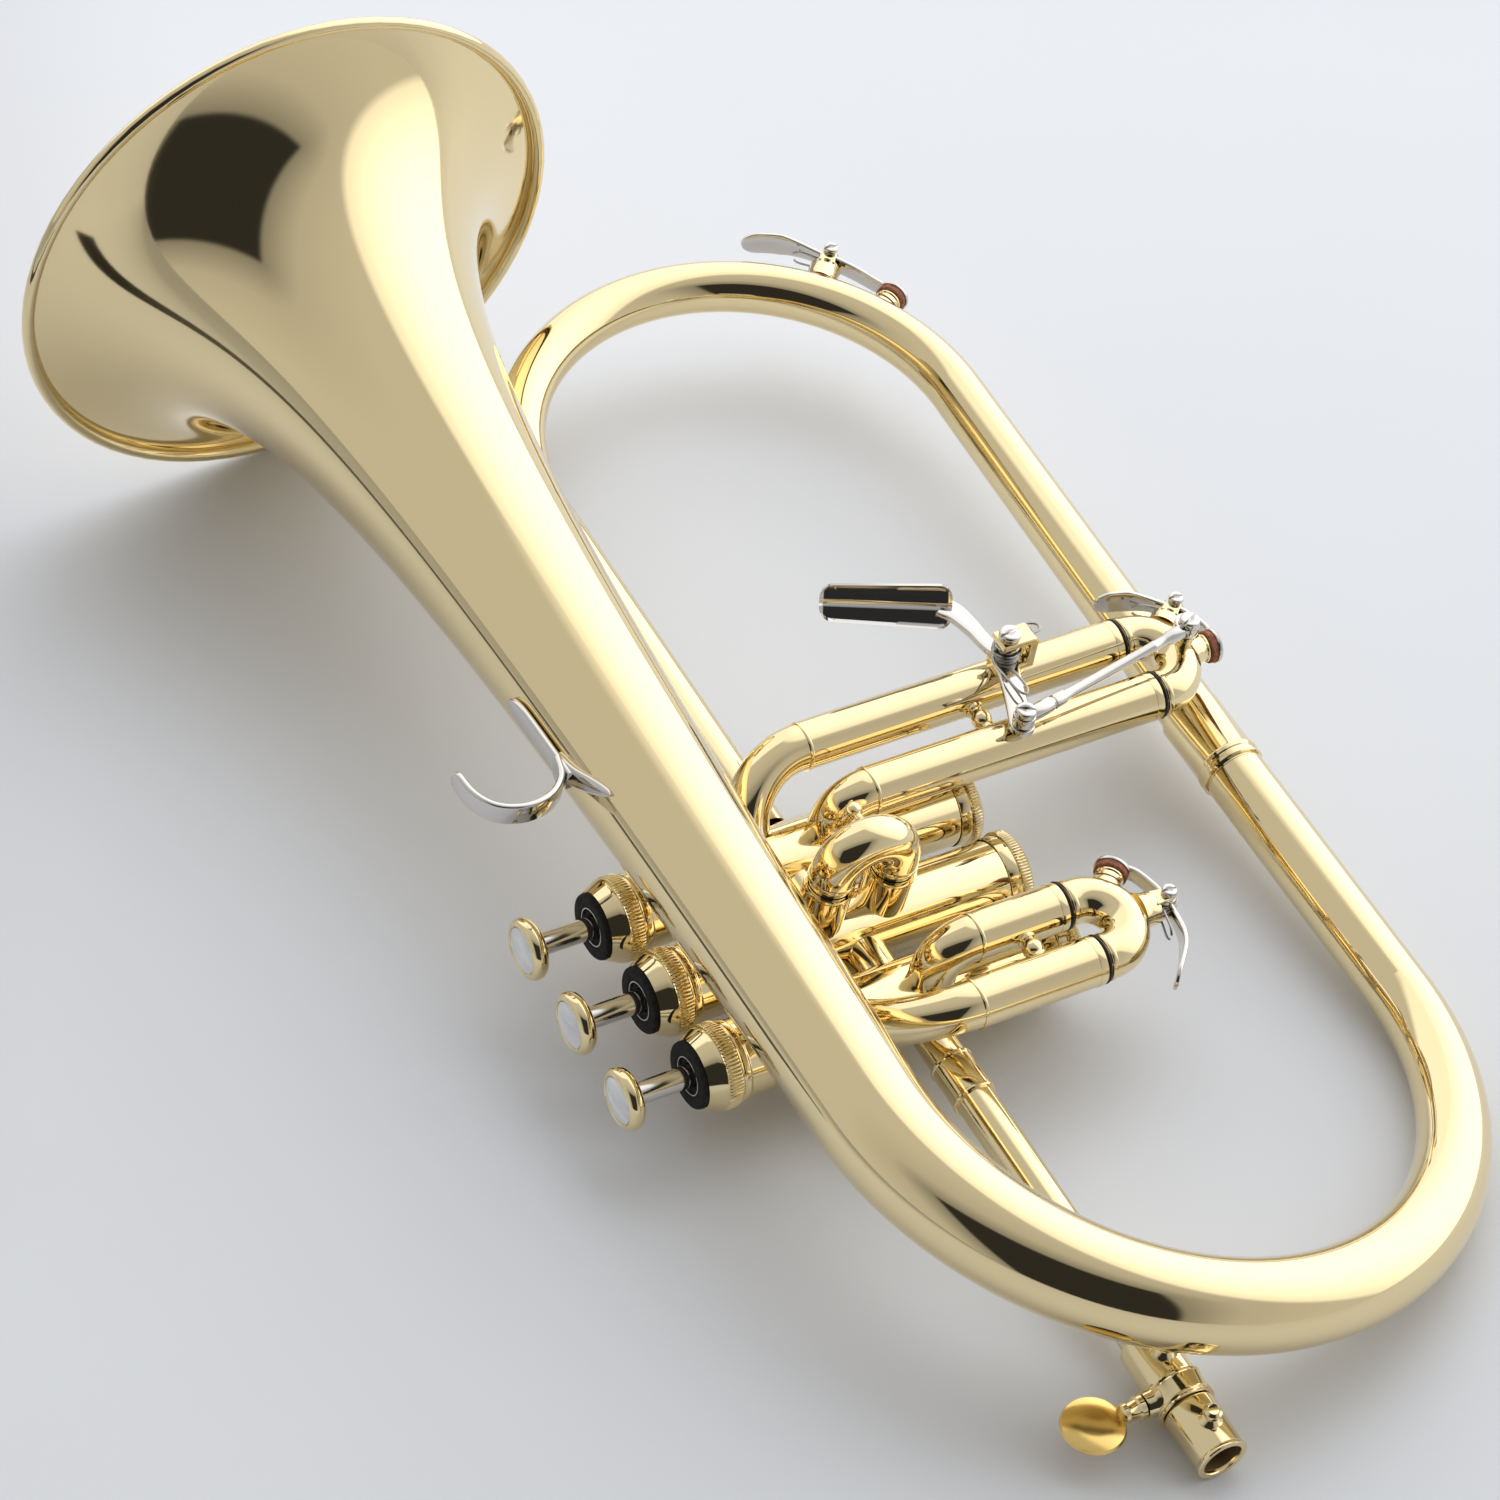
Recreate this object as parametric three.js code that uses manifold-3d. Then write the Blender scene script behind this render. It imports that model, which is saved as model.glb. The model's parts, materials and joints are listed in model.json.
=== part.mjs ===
// A B flat flugelhorn, built as the separate pieces that it comes apart into on a bench.
//
// Frame: the horn lies on its left side. +X runs along the valve row towards the bell mouth, +Y towards
// the finger buttons, and +Z is up, which is the player's right side of the horn. The origin is the
// middle of the flat foot of the middle valve's bottom cap. Sizes are millimetres.
import * as THREE from 'three';
import { mergeVertices } from 'three/addons/utils/BufferGeometryUtils.js';
import Module from 'manifold-3d';

// ---- driving dimensions ----
const GAP = 0.3;                  // air left between neighbouring pieces
const WALL = 0.8;                 // sheet thickness of the drawn tubes

const VALVE_PITCH = 25;
const CASING_RADIUS = 10;
const CASING_BORE = 8.8;
const CASING_FOOT = 2.4;
const CASING_TOP = 103.3;
const CAP_RADIUS = 11.1;
const BOTTOM_CAP_TOP = 7;
const TOP_CAP_FOOT = 98.5;
const TOP_CAP_TOP = 107.1;
const FELT_TOP = 108.4;
const PISTON_RADIUS = 8.7;
const PISTON_FOOT = 36;
const PISTON_TOP = 93;
const STEM_RADIUS = 2.9;
const BUTTON_FOOT = 123;
const BUTTON_RADIUS = 8.15;
const BUTTON_SEAT = 3.2;          // where the pearl sits, above the button's foot

const SIDE_SLIDE_Z = 19;          // the first and third slides lie this far to the right of the valves
const SLEEVE_RADIUS = 6.3;
const SLEEVE_BORE = 5.5;
const BOW_RADIUS = 5.9;           // outside radius of the slide bows and elbows
const LEG_RADIUS = 5.3;           // outside radius of the inner slide legs
const LEG_BORE = 4.7;

const SECOND_Y = 41.6;            // the lower leg of the second slide
const SECOND_WIDTH = 18.3;
const SECOND_NECK = 3.6;          // straight run between a seam and the bow
const SECOND_SEAM = 19.7;         // where the second slide's sleeves end, along its legs
const SECOND_LEAN = 0.105;          // the second slide leans this much towards the bottom caps

const BELL_Y = 89.8;
const BELL_Z = 33;
const RIM_X = 241.6;
const RIM_RADIUS = 76.2;
const BACK_BOW_X = -71;           // where the straight tubes end and the back bow begins
const LOWER_BRANCH_Y = -70.5;
const FRONT_BOW_X = 154;
const FRONT_BEND = 63.2;          // radius of the front bow, a little over half the height it spans
const OUTLET_Y = 53;              // the tube that leaves the third valve
const MOUTHPIPE_Y = 46.5;
const PIPE_RADIUS = 5.1;

// ---- materials ----
const metal = (color, roughness) => new THREE.MeshStandardMaterial({ color, roughness, metalness: 1 });
const brass = metal(0xd9c488, 0.12);
const nickel = metal(0xdcdcd8, 0.12);
const steel = metal(0xa9a9a6, 0.3);
const felt = new THREE.MeshStandardMaterial({ color: 0x16140f, roughness: 0.95, metalness: 0 });
const rubber = new THREE.MeshStandardMaterial({ color: 0x1b1512, roughness: 0.6, metalness: 0 });
const cork = new THREE.MeshStandardMaterial({ color: 0xa8664a, roughness: 0.9, metalness: 0 });
const pearl = new THREE.MeshStandardMaterial({ color: 0xe4e4e6, roughness: 0.2, metalness: 0 });

// ---- solids ----
const wasm = await Module();
wasm.setup();

const vec = (x, y, z) => new THREE.Vector3(x, y, z);
const X = vec(1, 0, 0);
const Y = vec(0, 1, 0);
const Z = vec(0, 0, 1);
const degrees = THREE.MathUtils.degToRad;

// The signed volume says whether the faces of a closed mesh point out.
function signedVolume(points, index) {
  let sum = 0;
  const corner = (k) => vec(...points.slice(3 * k, 3 * k + 3));
  for (let i = 0; i < index.length; i += 3) {
    sum += corner(index[i]).dot(corner(index[i + 1]).cross(corner(index[i + 2])));
  }
  return sum / 6;
}

// Turns a closed geometry into a solid that can be cut and joined.
function solid(geometry) {
  geometry.deleteAttribute('normal');
  geometry.deleteAttribute('uv');
  const merged = mergeVertices(geometry, 1e-4);
  const points = merged.attributes.position.array;
  const index = [];
  for (let i = 0; i < merged.index.count; i += 3) {
    const [a, b, c] = merged.index.array.slice(i, i + 3);
    if (a !== b && b !== c && c !== a) index.push(a, b, c);
  }
  if (signedVolume(points, index) < 0) index.reverse();
  return new wasm.Manifold(new wasm.Mesh({
    numProp: 3,
    vertProperties: new Float32Array(points),
    triVerts: new Uint32Array(index),
  }));
}

function join(...solids) {
  return solids.reduce((whole, next) => whole.add(next));
}

const horn = new THREE.Group();

function addPart(name, shape, material) {
  const mesh = shape.getMesh();
  const geometry = new THREE.BufferGeometry();
  geometry.setAttribute('position', new THREE.BufferAttribute(mesh.vertProperties, 3));
  geometry.setIndex(new THREE.BufferAttribute(mesh.triVerts, 1));
  geometry.computeVertexNormals();
  const part = new THREE.Mesh(geometry, material);
  part.name = name;
  horn.add(part);
}

// ---- shapes ----
// A profile of [radius, height] points turned about an axis that starts at foot.
function turned(profile, foot, axis, sides) {
  const points = profile.map(([radius, height]) => new THREE.Vector2(radius, height));
  const geometry = new THREE.LatheGeometry(points, sides);
  geometry.applyQuaternion(new THREE.Quaternion().setFromUnitVectors(Y, axis));
  geometry.translate(foot.x, foot.y, foot.z);
  return solid(geometry);
}

const disc = (foot, axis, radius, height, sides) =>
  turned([[0, 0], [radius, 0], [radius, height], [0, height]], foot, axis, sides);

const ring = (foot, axis, outer, inner, height, sides) =>
  turned([[inner, 0], [outer, 0], [outer, height], [inner, height], [inner, 0]], foot, axis, sides);

function box(low, high) {
  const size = high.clone().sub(low);
  const geometry = new THREE.BoxGeometry(size.x, size.y, size.z);
  const middle = low.clone().add(high).multiplyScalar(0.5);
  geometry.translate(middle.x, middle.y, middle.z);
  return solid(geometry);
}

// A path is a list of stations, each a point and the direction of travel there.
class Path {
  constructor(start, heading) {
    this.stations = [{ point: start.clone(), heading: heading.clone() }];
  }

  static through(stations) {
    const path = new Path(stations[0].point, stations[0].heading);
    path.stations.push(...stations.slice(1));
    return path;
  }

  get last() {
    return this.stations[this.stations.length - 1];
  }

  ahead(length) {
    const { point, heading } = this.last;
    const end = point.clone().addScaledVector(heading, length);
    this.stations.push({ point: end, heading: heading.clone() });
    return this;
  }

  // A straight run that leans very slightly off the heading, which stays as it is.
  to(point) {
    this.stations.push({ point: point.clone(), heading: this.last.heading.clone() });
    return this;
  }

  turn(towards, radius, angle, steps) {
    const { point, heading } = this.last;
    const centre = point.clone().addScaledVector(towards, radius);
    const from = towards.clone().multiplyScalar(-radius);
    return this.arc(centre, from, heading.clone().multiplyScalar(radius),
      angle, steps);
  }

  // An arc of a circle, or of an ellipse where the two half axes differ in length.
  arc(centre, from, across, angle, steps) {
    for (let i = 1; i <= steps; i += 1) {
      const a = (angle * i) / steps;
      const point = centre.clone()
        .addScaledVector(from, Math.cos(a)).addScaledVector(across, Math.sin(a));
      const heading = across.clone().multiplyScalar(Math.cos(a)).addScaledVector(from, -Math.sin(a));
      this.stations.push({ point, heading: heading.normalize() });
    }
    return this;
  }
}

// A round rod along a path. radius is a number, or a function of the distance travelled.
function rod(path, radius, sides = 10) {
  const radiusAt = typeof radius === 'function' ? radius : () => radius;
  const { stations } = path;
  const points = [];
  const index = [];
  let travelled = 0;
  let normal = new THREE.Vector3().crossVectors(stations[0].heading, Z);
  if (normal.length() < 0.5) normal.crossVectors(stations[0].heading, X);
  stations.forEach(({ point, heading }, i) => {
    if (i > 0) travelled += point.distanceTo(stations[i - 1].point);
    normal = normal.clone().addScaledVector(heading, -normal.dot(heading)).normalize();
    const side = new THREE.Vector3().crossVectors(heading, normal);
    for (let j = 0; j < sides; j += 1) {
      const a = (2 * Math.PI * j) / sides;
      const spoke = normal.clone().multiplyScalar(Math.cos(a)).addScaledVector(side, Math.sin(a));
      points.push(...point.clone().addScaledVector(spoke, radiusAt(travelled)).toArray());
    }
  });
  for (let i = 0; i + 1 < stations.length; i += 1) {
    for (let j = 0; j < sides; j += 1) {
      const here = i * sides + j;
      const beside = i * sides + ((j + 1) % sides);
      index.push(here, beside, here + sides, beside, beside + sides, here + sides);
    }
  }
  const end = (stations.length - 1) * sides;
  for (let j = 1; j + 1 < sides; j += 1) {
    index.push(0, j + 1, j);
    index.push(end, end + j, end + j + 1);
  }
  const geometry = new THREE.BufferGeometry();
  geometry.setAttribute('position', new THREE.BufferAttribute(new Float32Array(points), 3));
  geometry.setIndex(index);
  return solid(geometry);
}

function pipe(path, outer, inner, sides = 10) {
  return rod(path, outer, sides).subtract(rod(path, inner, sides));
}

// A flat outline of [x, y] points, given depth along +Z.
function plate(outline, lowZ, highZ) {
  const shape = new THREE.Shape(outline.map(([x, y]) => new THREE.Vector2(x, y)));
  const geometry = new THREE.ExtrudeGeometry(shape, { depth: highZ - lowZ, bevelEnabled: false });
  geometry.translate(0, 0, lowZ);
  return solid(geometry);
}

// A strip that follows a smooth curve through [x, y] points, with its width along Z.
function strip(through, thickness, lowZ, highZ, steps) {
  const curve = new THREE.SplineCurve(through.map(([x, y]) => new THREE.Vector2(x, y)));
  const left = [];
  const right = [];
  for (let i = 0; i <= steps; i += 1) {
    const point = curve.getPoint(i / steps);
    const tangent = curve.getTangent(i / steps);
    const half = thickness / 2;
    left.push([point.x - tangent.y * half, point.y + tangent.x * half]);
    right.unshift([point.x + tangent.y * half, point.y - tangent.x * half]);
  }
  return plate([...left, ...right], lowZ, highZ);
}

// ---- valves ----
const VALVE_SIDES = 16;
const valveNames = ['first', 'second', 'third'];
const valveX = [-VALVE_PITCH, 0, VALVE_PITCH];
const diagonal = (x, z) => vec(x, 0, z).normalize();

const casingOutside = (x) => disc(vec(x, CASING_FOOT, 0), Y, CASING_RADIUS, CASING_TOP - CASING_FOOT,
  VALVE_SIDES);
// A cylinder on a valve's axis that runs past both ends of its casing.
const onValveAxis = (x, radius) => disc(vec(x, -5, 0), Y, radius, 120, VALVE_SIDES);
const clearOfCasing = (x) => onValveAxis(x, CASING_RADIUS + GAP);

// The second slide's two legs start on the valve's axis and lean a little.
const secondOut = vec(0, -SECOND_LEAN, 1).normalize();
const secondSide = vec(0, 1, SECOND_LEAN).normalize();
const secondLegs = [{ y: SECOND_Y, seam: SECOND_SEAM },
  { y: SECOND_Y + SECOND_WIDTH / secondSide.y, seam: SECOND_SEAM + SECOND_WIDTH * SECOND_LEAN }];

// Where each valve's tubes meet its casing: the height and the direction away from the valve axis.
const ports = [
  [{ y: MOUTHPIPE_Y, out: vec(-1, 0, 0) }, { y: 41.7, out: Z }, { y: 60, out: diagonal(-20, 19) },
    { y: 49.5, out: X }],
  [{ y: 49.5, out: vec(-1, 0, 0) }, { y: secondLegs[1].y, out: secondOut },
    { y: SECOND_Y, out: secondOut },
    { y: OUTLET_Y, out: X }],
  [{ y: OUTLET_Y, out: vec(-1, 0, 0) }, { y: 42, out: Z }, { y: 60.5, out: diagonal(18.5, 19) },
    { y: OUTLET_Y, out: X }],
];

function portDrill(x, { y, out }, from, to) {
  return disc(vec(x, y, 0).addScaledVector(out, from), out, LEG_BORE, to - from, 10);
}

// The short knuckle tubes that pass the air from one casing to the next.
function knuckle(x, { y, out }) {
  const start = CASING_BORE + 0.4;
  const path = new Path(vec(x, y, 0).addScaledVector(out, start), out)
    .ahead(VALVE_PITCH - CASING_RADIUS - start);
  return pipe(path, BOW_RADIUS, LEG_BORE, 10);
}

function secondSlideSleeve({ y, seam }) {
  const start = CASING_BORE - 1;
  return pipe(new Path(vec(0, y, 0).addScaledVector(secondOut, start), secondOut).ahead(seam - start),
    SLEEVE_RADIUS, SLEEVE_BORE);
}

valveX.forEach((x, i) => {
  let casing = casingOutside(x);
  if (i === 1) {
    const sleeves = secondLegs.map(secondSlideSleeve);
    casing = join(casing, knuckle(0, ports[1][0]), knuckle(0, ports[1][3]), ...sleeves)
      .subtract(clearOfCasing(-VALVE_PITCH))
      .subtract(clearOfCasing(VALVE_PITCH));
  }
  casing = casing.subtract(onValveAxis(x, CASING_BORE));
  ports[i].forEach((port) => { casing = casing.subtract(portDrill(x, port, 6, 11.5)); });
  addPart(`${valveNames[i]}_valve_casing`, casing, brass);
});

function topCap(x) {
  const profile = [[10.3, 0], [CAP_RADIUS, 0], [CAP_RADIUS, 6.4], [9.4, 8.6], [3.6, 8.6], [3.6, 5.2],
    [10.3, 5.2], [10.3, 0]];
  return turned(profile, vec(x, TOP_CAP_FOOT, 0), Y, VALVE_SIDES);
}

function bottomCap(x) {
  const profile = [[0, 0], [9.8, 0], [CAP_RADIUS, 1.2], [CAP_RADIUS, BOTTOM_CAP_TOP],
    [10.3, BOTTOM_CAP_TOP], [10.3, 2], [0, 2]];
  return turned(profile, vec(x, 0, 0), Y, VALVE_SIDES);
}

// A piston with its stem, and one air passage through it for each pair of ports it can join.
function piston(x, i) {
  const profile = [[0, PISTON_FOOT], [PISTON_RADIUS, PISTON_FOOT], [PISTON_RADIUS, PISTON_TOP],
    [STEM_RADIUS, PISTON_TOP], [STEM_RADIUS, BUTTON_FOOT - GAP], [0, BUTTON_FOOT - GAP]];
  let body = turned(profile, vec(x, 0, 0), Y, VALVE_SIDES);
  const [inlet, , , outlet] = ports[i];
  const reach = PISTON_RADIUS + 1;
  body = body.subtract(portDrill(x, { y: (inlet.y + outlet.y) / 2, out: X }, -reach, reach));
  body = body.subtract(portDrill(x, { y: PISTON_TOP - 18, out: Z }, -2, reach));
  body = body.subtract(portDrill(x, { y: PISTON_TOP - 18, out: X }, -reach, 2));
  return body;
}

function button(x) {
  const profile = [[0, 0], [6.4, 0], [7.8, 1], [BUTTON_RADIUS, 2.4], [7.9, 3.8], [7.4, 4.6],
    [7.2, BUTTON_SEAT], [0, BUTTON_SEAT]];
  return turned(profile, vec(x, BUTTON_FOOT, 0), Y, VALVE_SIDES);
}

function pearlDisc(x) {
  const profile = [[0, 0], [6.9, 0], [6.9, 0.8], [4.4, 1.3], [0, 1.5]];
  return turned(profile, vec(x, BUTTON_FOOT + BUTTON_SEAT + GAP, 0), Y, 16);
}

// The compression spring between the bottom cap and the piston.
const SPRING = { foot: 3, turns: 5, perTurn: 7, radius: 6.6, wire: 0.45 };

function spring(x) {
  const { foot, turns, perTurn, radius, wire } = SPRING;
  const height = PISTON_FOOT - foot - 1;
  const stations = [];
  for (let k = 0; k <= turns * perTurn; k += 1) {
    const angle = (2 * Math.PI * k) / perTurn;
    const [cos, sin] = [Math.cos(angle), Math.sin(angle)];
    stations.push({
      point: vec(x + radius * cos, foot + (height * k) / (turns * perTurn), radius * sin),
      heading: vec(-radius * sin, height / (turns * 2 * Math.PI), radius * cos).normalize(),
    });
  }
  return rod(Path.through(stations), wire, 4);
}

valveX.forEach((x, i) => {
  const name = valveNames[i];
  addPart(`${name}_top_cap`, topCap(x), brass);
  addPart(`${name}_bottom_cap`, bottomCap(x), brass);
  const feltHeight = FELT_TOP - TOP_CAP_TOP - GAP;
  addPart(`${name}_cap_felt`, ring(vec(x, TOP_CAP_TOP + GAP, 0), Y, 8.8, 3.7, feltHeight,
    20), felt);
  addPart(`${name}_piston`, piston(x, i), nickel);
  addPart(`${name}_valve_spring`, spring(x), steel);
  addPart(`${name}_finger_button`, button(x), brass);
  addPart(`${name}_button_pearl`, pearlDisc(x), pearl);
});

// ---- slides ----
// The fixed sleeves of the first and third slides run along Y and turn into their casings. sleeve is
// { x, foot, seam } and the elbow turns from its seam to the casing at casingX.
function slideSleeve(sleeve, towards, bendRadius, angle, casingX) {
  const foot = vec(sleeve.x, sleeve.foot, SIDE_SLIDE_Z);
  const seam = vec(sleeve.x, sleeve.seam, SIDE_SLIDE_Z);
  const tube = pipe(new Path(foot, Y).ahead(sleeve.seam - sleeve.foot), SLEEVE_RADIUS, SLEEVE_BORE);
  const bend = new Path(seam.clone().addScaledVector(Y, -0.5), Y).ahead(0.5)
    .turn(towards, bendRadius, angle, 4).ahead(4);
  return join(tube, pipe(bend, BOW_RADIUS, LEG_BORE)).subtract(clearOfCasing(casingX));
}

const thirdFoot = -52;
const firstFoot = 7.5;
const thirdRear = { x: 24, foot: thirdFoot, seam: 33 };
const thirdFront = { x: 43.5, foot: thirdFoot, seam: 41.5 };
const firstFront = { x: -26.8, foot: firstFoot, seam: 32.7 };
const firstRear = { x: -45, foot: firstFoot, seam: 42.7 };
const DOWN = vec(0, 0, -1);

// The long elbows swing diagonally over the tube that enters the same casing from the side.
const LONG_BEND = 20;
const longBendAngle = degrees(80);
const outlet = new Path(vec(FRONT_BOW_X, OUTLET_Y, 0), vec(-1, 0, 0))
  .ahead(FRONT_BOW_X - VALVE_PITCH - 9);
const outletBlank = rod(outlet, 6.2 + GAP);
const mouthpipeStart = new Path(vec(-VALVE_PITCH - 8, MOUTHPIPE_Y, 0), vec(-1, 0, 0)).ahead(60);
const mouthpipeBlank = rod(mouthpipeStart, PIPE_RADIUS + GAP);

addPart('third_slide_rear_sleeve', slideSleeve(thirdRear, DOWN, 9, degrees(90), VALVE_PITCH), brass);
addPart('third_slide_front_sleeve',
  slideSleeve(thirdFront, diagonal(-18.5, -19), LONG_BEND, longBendAngle, VALVE_PITCH)
    .subtract(outletBlank),
  brass);
addPart('first_slide_front_sleeve', slideSleeve(firstFront, DOWN, 9, degrees(90), -VALVE_PITCH), brass);
addPart('first_slide_rear_sleeve',
  slideSleeve(firstRear, diagonal(20, -19), LONG_BEND, longBendAngle, -VALVE_PITCH)
    .subtract(mouthpipeBlank),
  brass);

// A slide's crook: two inner legs and the bow that joins them. side points from the first leg to the
// second, out points away from the sleeves.
function crook(firstLeg, side, width, out, legLength, neck, ringDepth) {
  const start = firstLeg.clone().addScaledVector(out, -legLength);
  const legs = (radius) => [0, width].map((offset) => rod(
    new Path(start.clone().addScaledVector(side, offset), out)
      .ahead(legLength + ringDepth + 0.5), radius));
  const bow = new Path(firstLeg.clone().addScaledVector(out, ringDepth), out).ahead(neck - ringDepth)
    .turn(side, width / 2, Math.PI, 7).ahead(neck - ringDepth);
  const bore = new Path(start.clone().addScaledVector(out, -1), out).ahead(legLength + neck + 1)
    .turn(side, width / 2, Math.PI, 7).ahead(legLength + neck + 1);
  return { outer: join(rod(bow, BOW_RADIUS), ...legs(LEG_RADIUS)), bore: rod(bore, LEG_BORE) };
}

// ---- water keys ----
// Each key lies in the plane of its bow. Angles are about the bow's centre, from +X.
function bowPoint(key, angle, height) {
  const reach = key.bend + key.tube + height;
  return [key.x + reach * Math.cos(degrees(angle)), key.y + reach * Math.sin(degrees(angle))];
}

function radial(angle) {
  return vec(Math.cos(degrees(angle)), Math.sin(degrees(angle)), 0);
}

const HUB_HALF = 2.6;             // half of a key hub's width
const EAR = 1.3;                  // thickness of a saddle's ear
const PAD_LIFT = 3.2;             // height of the nipple that the cork closes
const NIPPLE_RADIUS = 3.6;
const CORK_RADIUS = 4.3;
const CORK_HEIGHT = 1.8;
const CUP_RADIUS = 4.6;

// The soldered saddle with its pivot screw, and the nipple under the cork.
function keySaddle(key) {
  const [px, py] = bowPoint(key, key.pivotAngle, key.pivotHeight);
  const out = radial(key.pivotAngle);
  const wide = HUB_HALF + GAP + EAR;
  const block = (halfAlong, low, high, zLow, zHigh) => {
    const geometry = new THREE.BoxGeometry(high - low, 2 * halfAlong, zHigh - zLow);
    geometry.rotateZ(Math.atan2(out.y, out.x));
    const middle = (low + high) / 2;
    geometry.translate(px + out.x * middle, py + out.y * middle, key.z + (zLow + zHigh) / 2);
    return solid(geometry);
  };
  const foot = block(2.6, -key.pivotHeight - 2, 2 - key.pivotHeight, -wide, wide);
  const ears = [-1, 1].map((s) => block(2.2, -key.pivotHeight + 1.5, 1.9,
    Math.min(s * wide, s * (HUB_HALF + GAP)), Math.max(s * wide, s * (HUB_HALF + GAP))));
  const screw = disc(vec(px, py, key.z - wide + 0.2), Z, 0.9, 2 * wide - 0.4, 8);
  const head = disc(vec(px, py, key.z + wide - 0.2), Z, 2, 1.4, 10);
  const [nx, ny] = bowPoint(key, key.padAngle, -1.2);
  const nipple = disc(vec(nx, ny, key.z), radial(key.padAngle), NIPPLE_RADIUS, 1.2 + PAD_LIFT, 12);
  const holeFoot = vec(nx, ny, key.z).addScaledVector(radial(key.padAngle), -3);
  return { shape: join(foot, ...ears, screw, head, nipple),
    hole: disc(holeFoot, radial(key.padAngle), 1.4, 8, 8) };
}

function keyCork(key) {
  const [x, y] = bowPoint(key, key.padAngle, PAD_LIFT + GAP);
  return disc(vec(x, y, key.z), radial(key.padAngle), CORK_RADIUS, CORK_HEIGHT, 12);
}

// The lever: a cup over the cork, a hub on the pivot screw, and a touch for the finger.
function keyLever(key) {
  const cupFoot = PAD_LIFT + 2 * GAP + CORK_HEIGHT;
  const [cx, cy] = bowPoint(key, key.padAngle, cupFoot);
  const [px, py] = bowPoint(key, key.pivotAngle, key.pivotHeight);
  const cup = disc(vec(cx, cy, key.z), radial(key.padAngle), CUP_RADIUS, 1.2, 12);
  const [ax, ay] = bowPoint(key, key.padAngle, cupFoot + 0.7);
  // The arm leaves the cup level, so that it clears the cork, and bends down to the pivot.
  const padOut = radial(key.padAngle);
  const level = vec(px - ax, py - ay, 0);
  level.addScaledVector(padOut, -level.dot(padOut)).normalize().multiplyScalar(CUP_RADIUS + 0.8);
  const armLine = [[ax, ay], [ax + level.x, ay + level.y], [px, py], ...key.touch];
  const arm = strip(armLine, 1.3, key.z - HUB_HALF, key.z + HUB_HALF, 7);
  const hub = disc(vec(px, py, key.z - HUB_HALF), Z, 2, 2 * HUB_HALF, 10);
  const bore = disc(vec(px, py, key.z - HUB_HALF - 1), Z, 1.2, 2 * HUB_HALF + 2, 8);
  const [fx, fy] = bowPoint(key, key.padAngle, 0);
  const corkSpace = disc(vec(fx, fy, key.z), padOut, CUP_RADIUS + 0.4, cupFoot, 12);
  return join(cup, arm.subtract(corkSpace), hub).subtract(bore);
}

const thirdKey = { x: 33.75, y: -54.9, z: SIDE_SLIDE_Z, bend: 9.75, tube: BOW_RADIUS, pivotAngle: -53,
  pivotHeight: 7, padAngle: -92, touch: [[54.4, -64.5], [57.3, -54.5]] };
const firstKey = { x: -35.9, y: 3.5, z: SIDE_SLIDE_Z, bend: 9.1, tube: BOW_RADIUS, pivotAngle: -91,
  pivotHeight: 7, padAngle: -47, touch: [[-48.5, -16.2], [-60, -6.6]] };
const frontKey = { x: FRONT_BOW_X, y: OUTLET_Y - FRONT_BEND, z: 0, bend: FRONT_BEND, tube: 7.1,
  pivotAngle: -44, pivotHeight: 9.5, padAngle: -59.5, touch: [[221.5, -57], [226.8, -46]] };

// The third slide's crook also carries the post that the trigger's link rod pulls.
const LINK_PIN_RADIUS = 1;
const LINK_PLAY = 0.7;            // the far eye wanders this much either side of its pin
const LINK_LOW = 29.3;
const LINK_HIGH = 32.3;
const linkFar = { x: 32.4, y: -65.6 };

function linkPost() {
  const foot = disc(vec(linkFar.x, linkFar.y, SIDE_SLIDE_Z + 4), Z, 2.6, 5.9, 12);
  const pin = disc(vec(linkFar.x, linkFar.y, SIDE_SLIDE_Z + 9.5), Z, LINK_PIN_RADIUS, 4.4, 10);
  const head = disc(vec(linkFar.x, linkFar.y, LINK_HIGH + GAP), Z, 2.8, 1.8, 12);
  return join(foot, pin, head);
}

function sideCrook(rear, front, y, legLength) {
  const left = Math.min(rear.x, front.x);
  const width = Math.abs(front.x - rear.x);
  const corner = vec(left, rear.foot - GAP, SIDE_SLIDE_Z);
  const neck = rear.foot - GAP - y;
  return crook(corner, X, width, vec(0, -1, 0), legLength, neck, 1.5);
}

function oRing(x, foot) {
  return ring(vec(x, foot - 2 * GAP - 1.2, SIDE_SLIDE_Z), Y, 6.5, LEG_RADIUS + 0.15, 1.2, 16);
}

const third = sideCrook(thirdRear, thirdFront, thirdKey.y, 34);
const thirdSaddle = keySaddle(thirdKey);
addPart('third_slide_crook',
  join(third.outer, thirdSaddle.shape, linkPost())
    .subtract(third.bore).subtract(thirdSaddle.hole), brass);
const first = sideCrook(firstRear, firstFront, firstKey.y, 22);
const firstSaddle = keySaddle(firstKey);
addPart('first_slide_crook',
  join(first.outer, firstSaddle.shape).subtract(first.bore).subtract(firstSaddle.hole), brass);
const secondFoot = vec(0, SECOND_Y, 0).addScaledVector(secondOut, SECOND_SEAM + GAP);
const second = crook(secondFoot, secondSide, SECOND_WIDTH, secondOut, 8, SECOND_NECK, 0);
// The second slide's pull knob stands on the top of its bow.
const secondTop = secondFoot.clone().addScaledVector(secondOut, SECOND_NECK + SECOND_WIDTH / 2)
  .addScaledVector(secondSide, SECOND_WIDTH / 2);
const pullKnob = turned([[0, 0], [1.8, 0], [1.2, 2.2], [2.3, 4.2], [2.3, 5.4], [1.2, 6.8], [0, 7]],
  secondTop.clone().addScaledVector(X, BOW_RADIUS - 0.7), X, 10);
addPart('second_slide_crook', join(second.outer, pullKnob).subtract(second.bore), brass);

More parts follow.
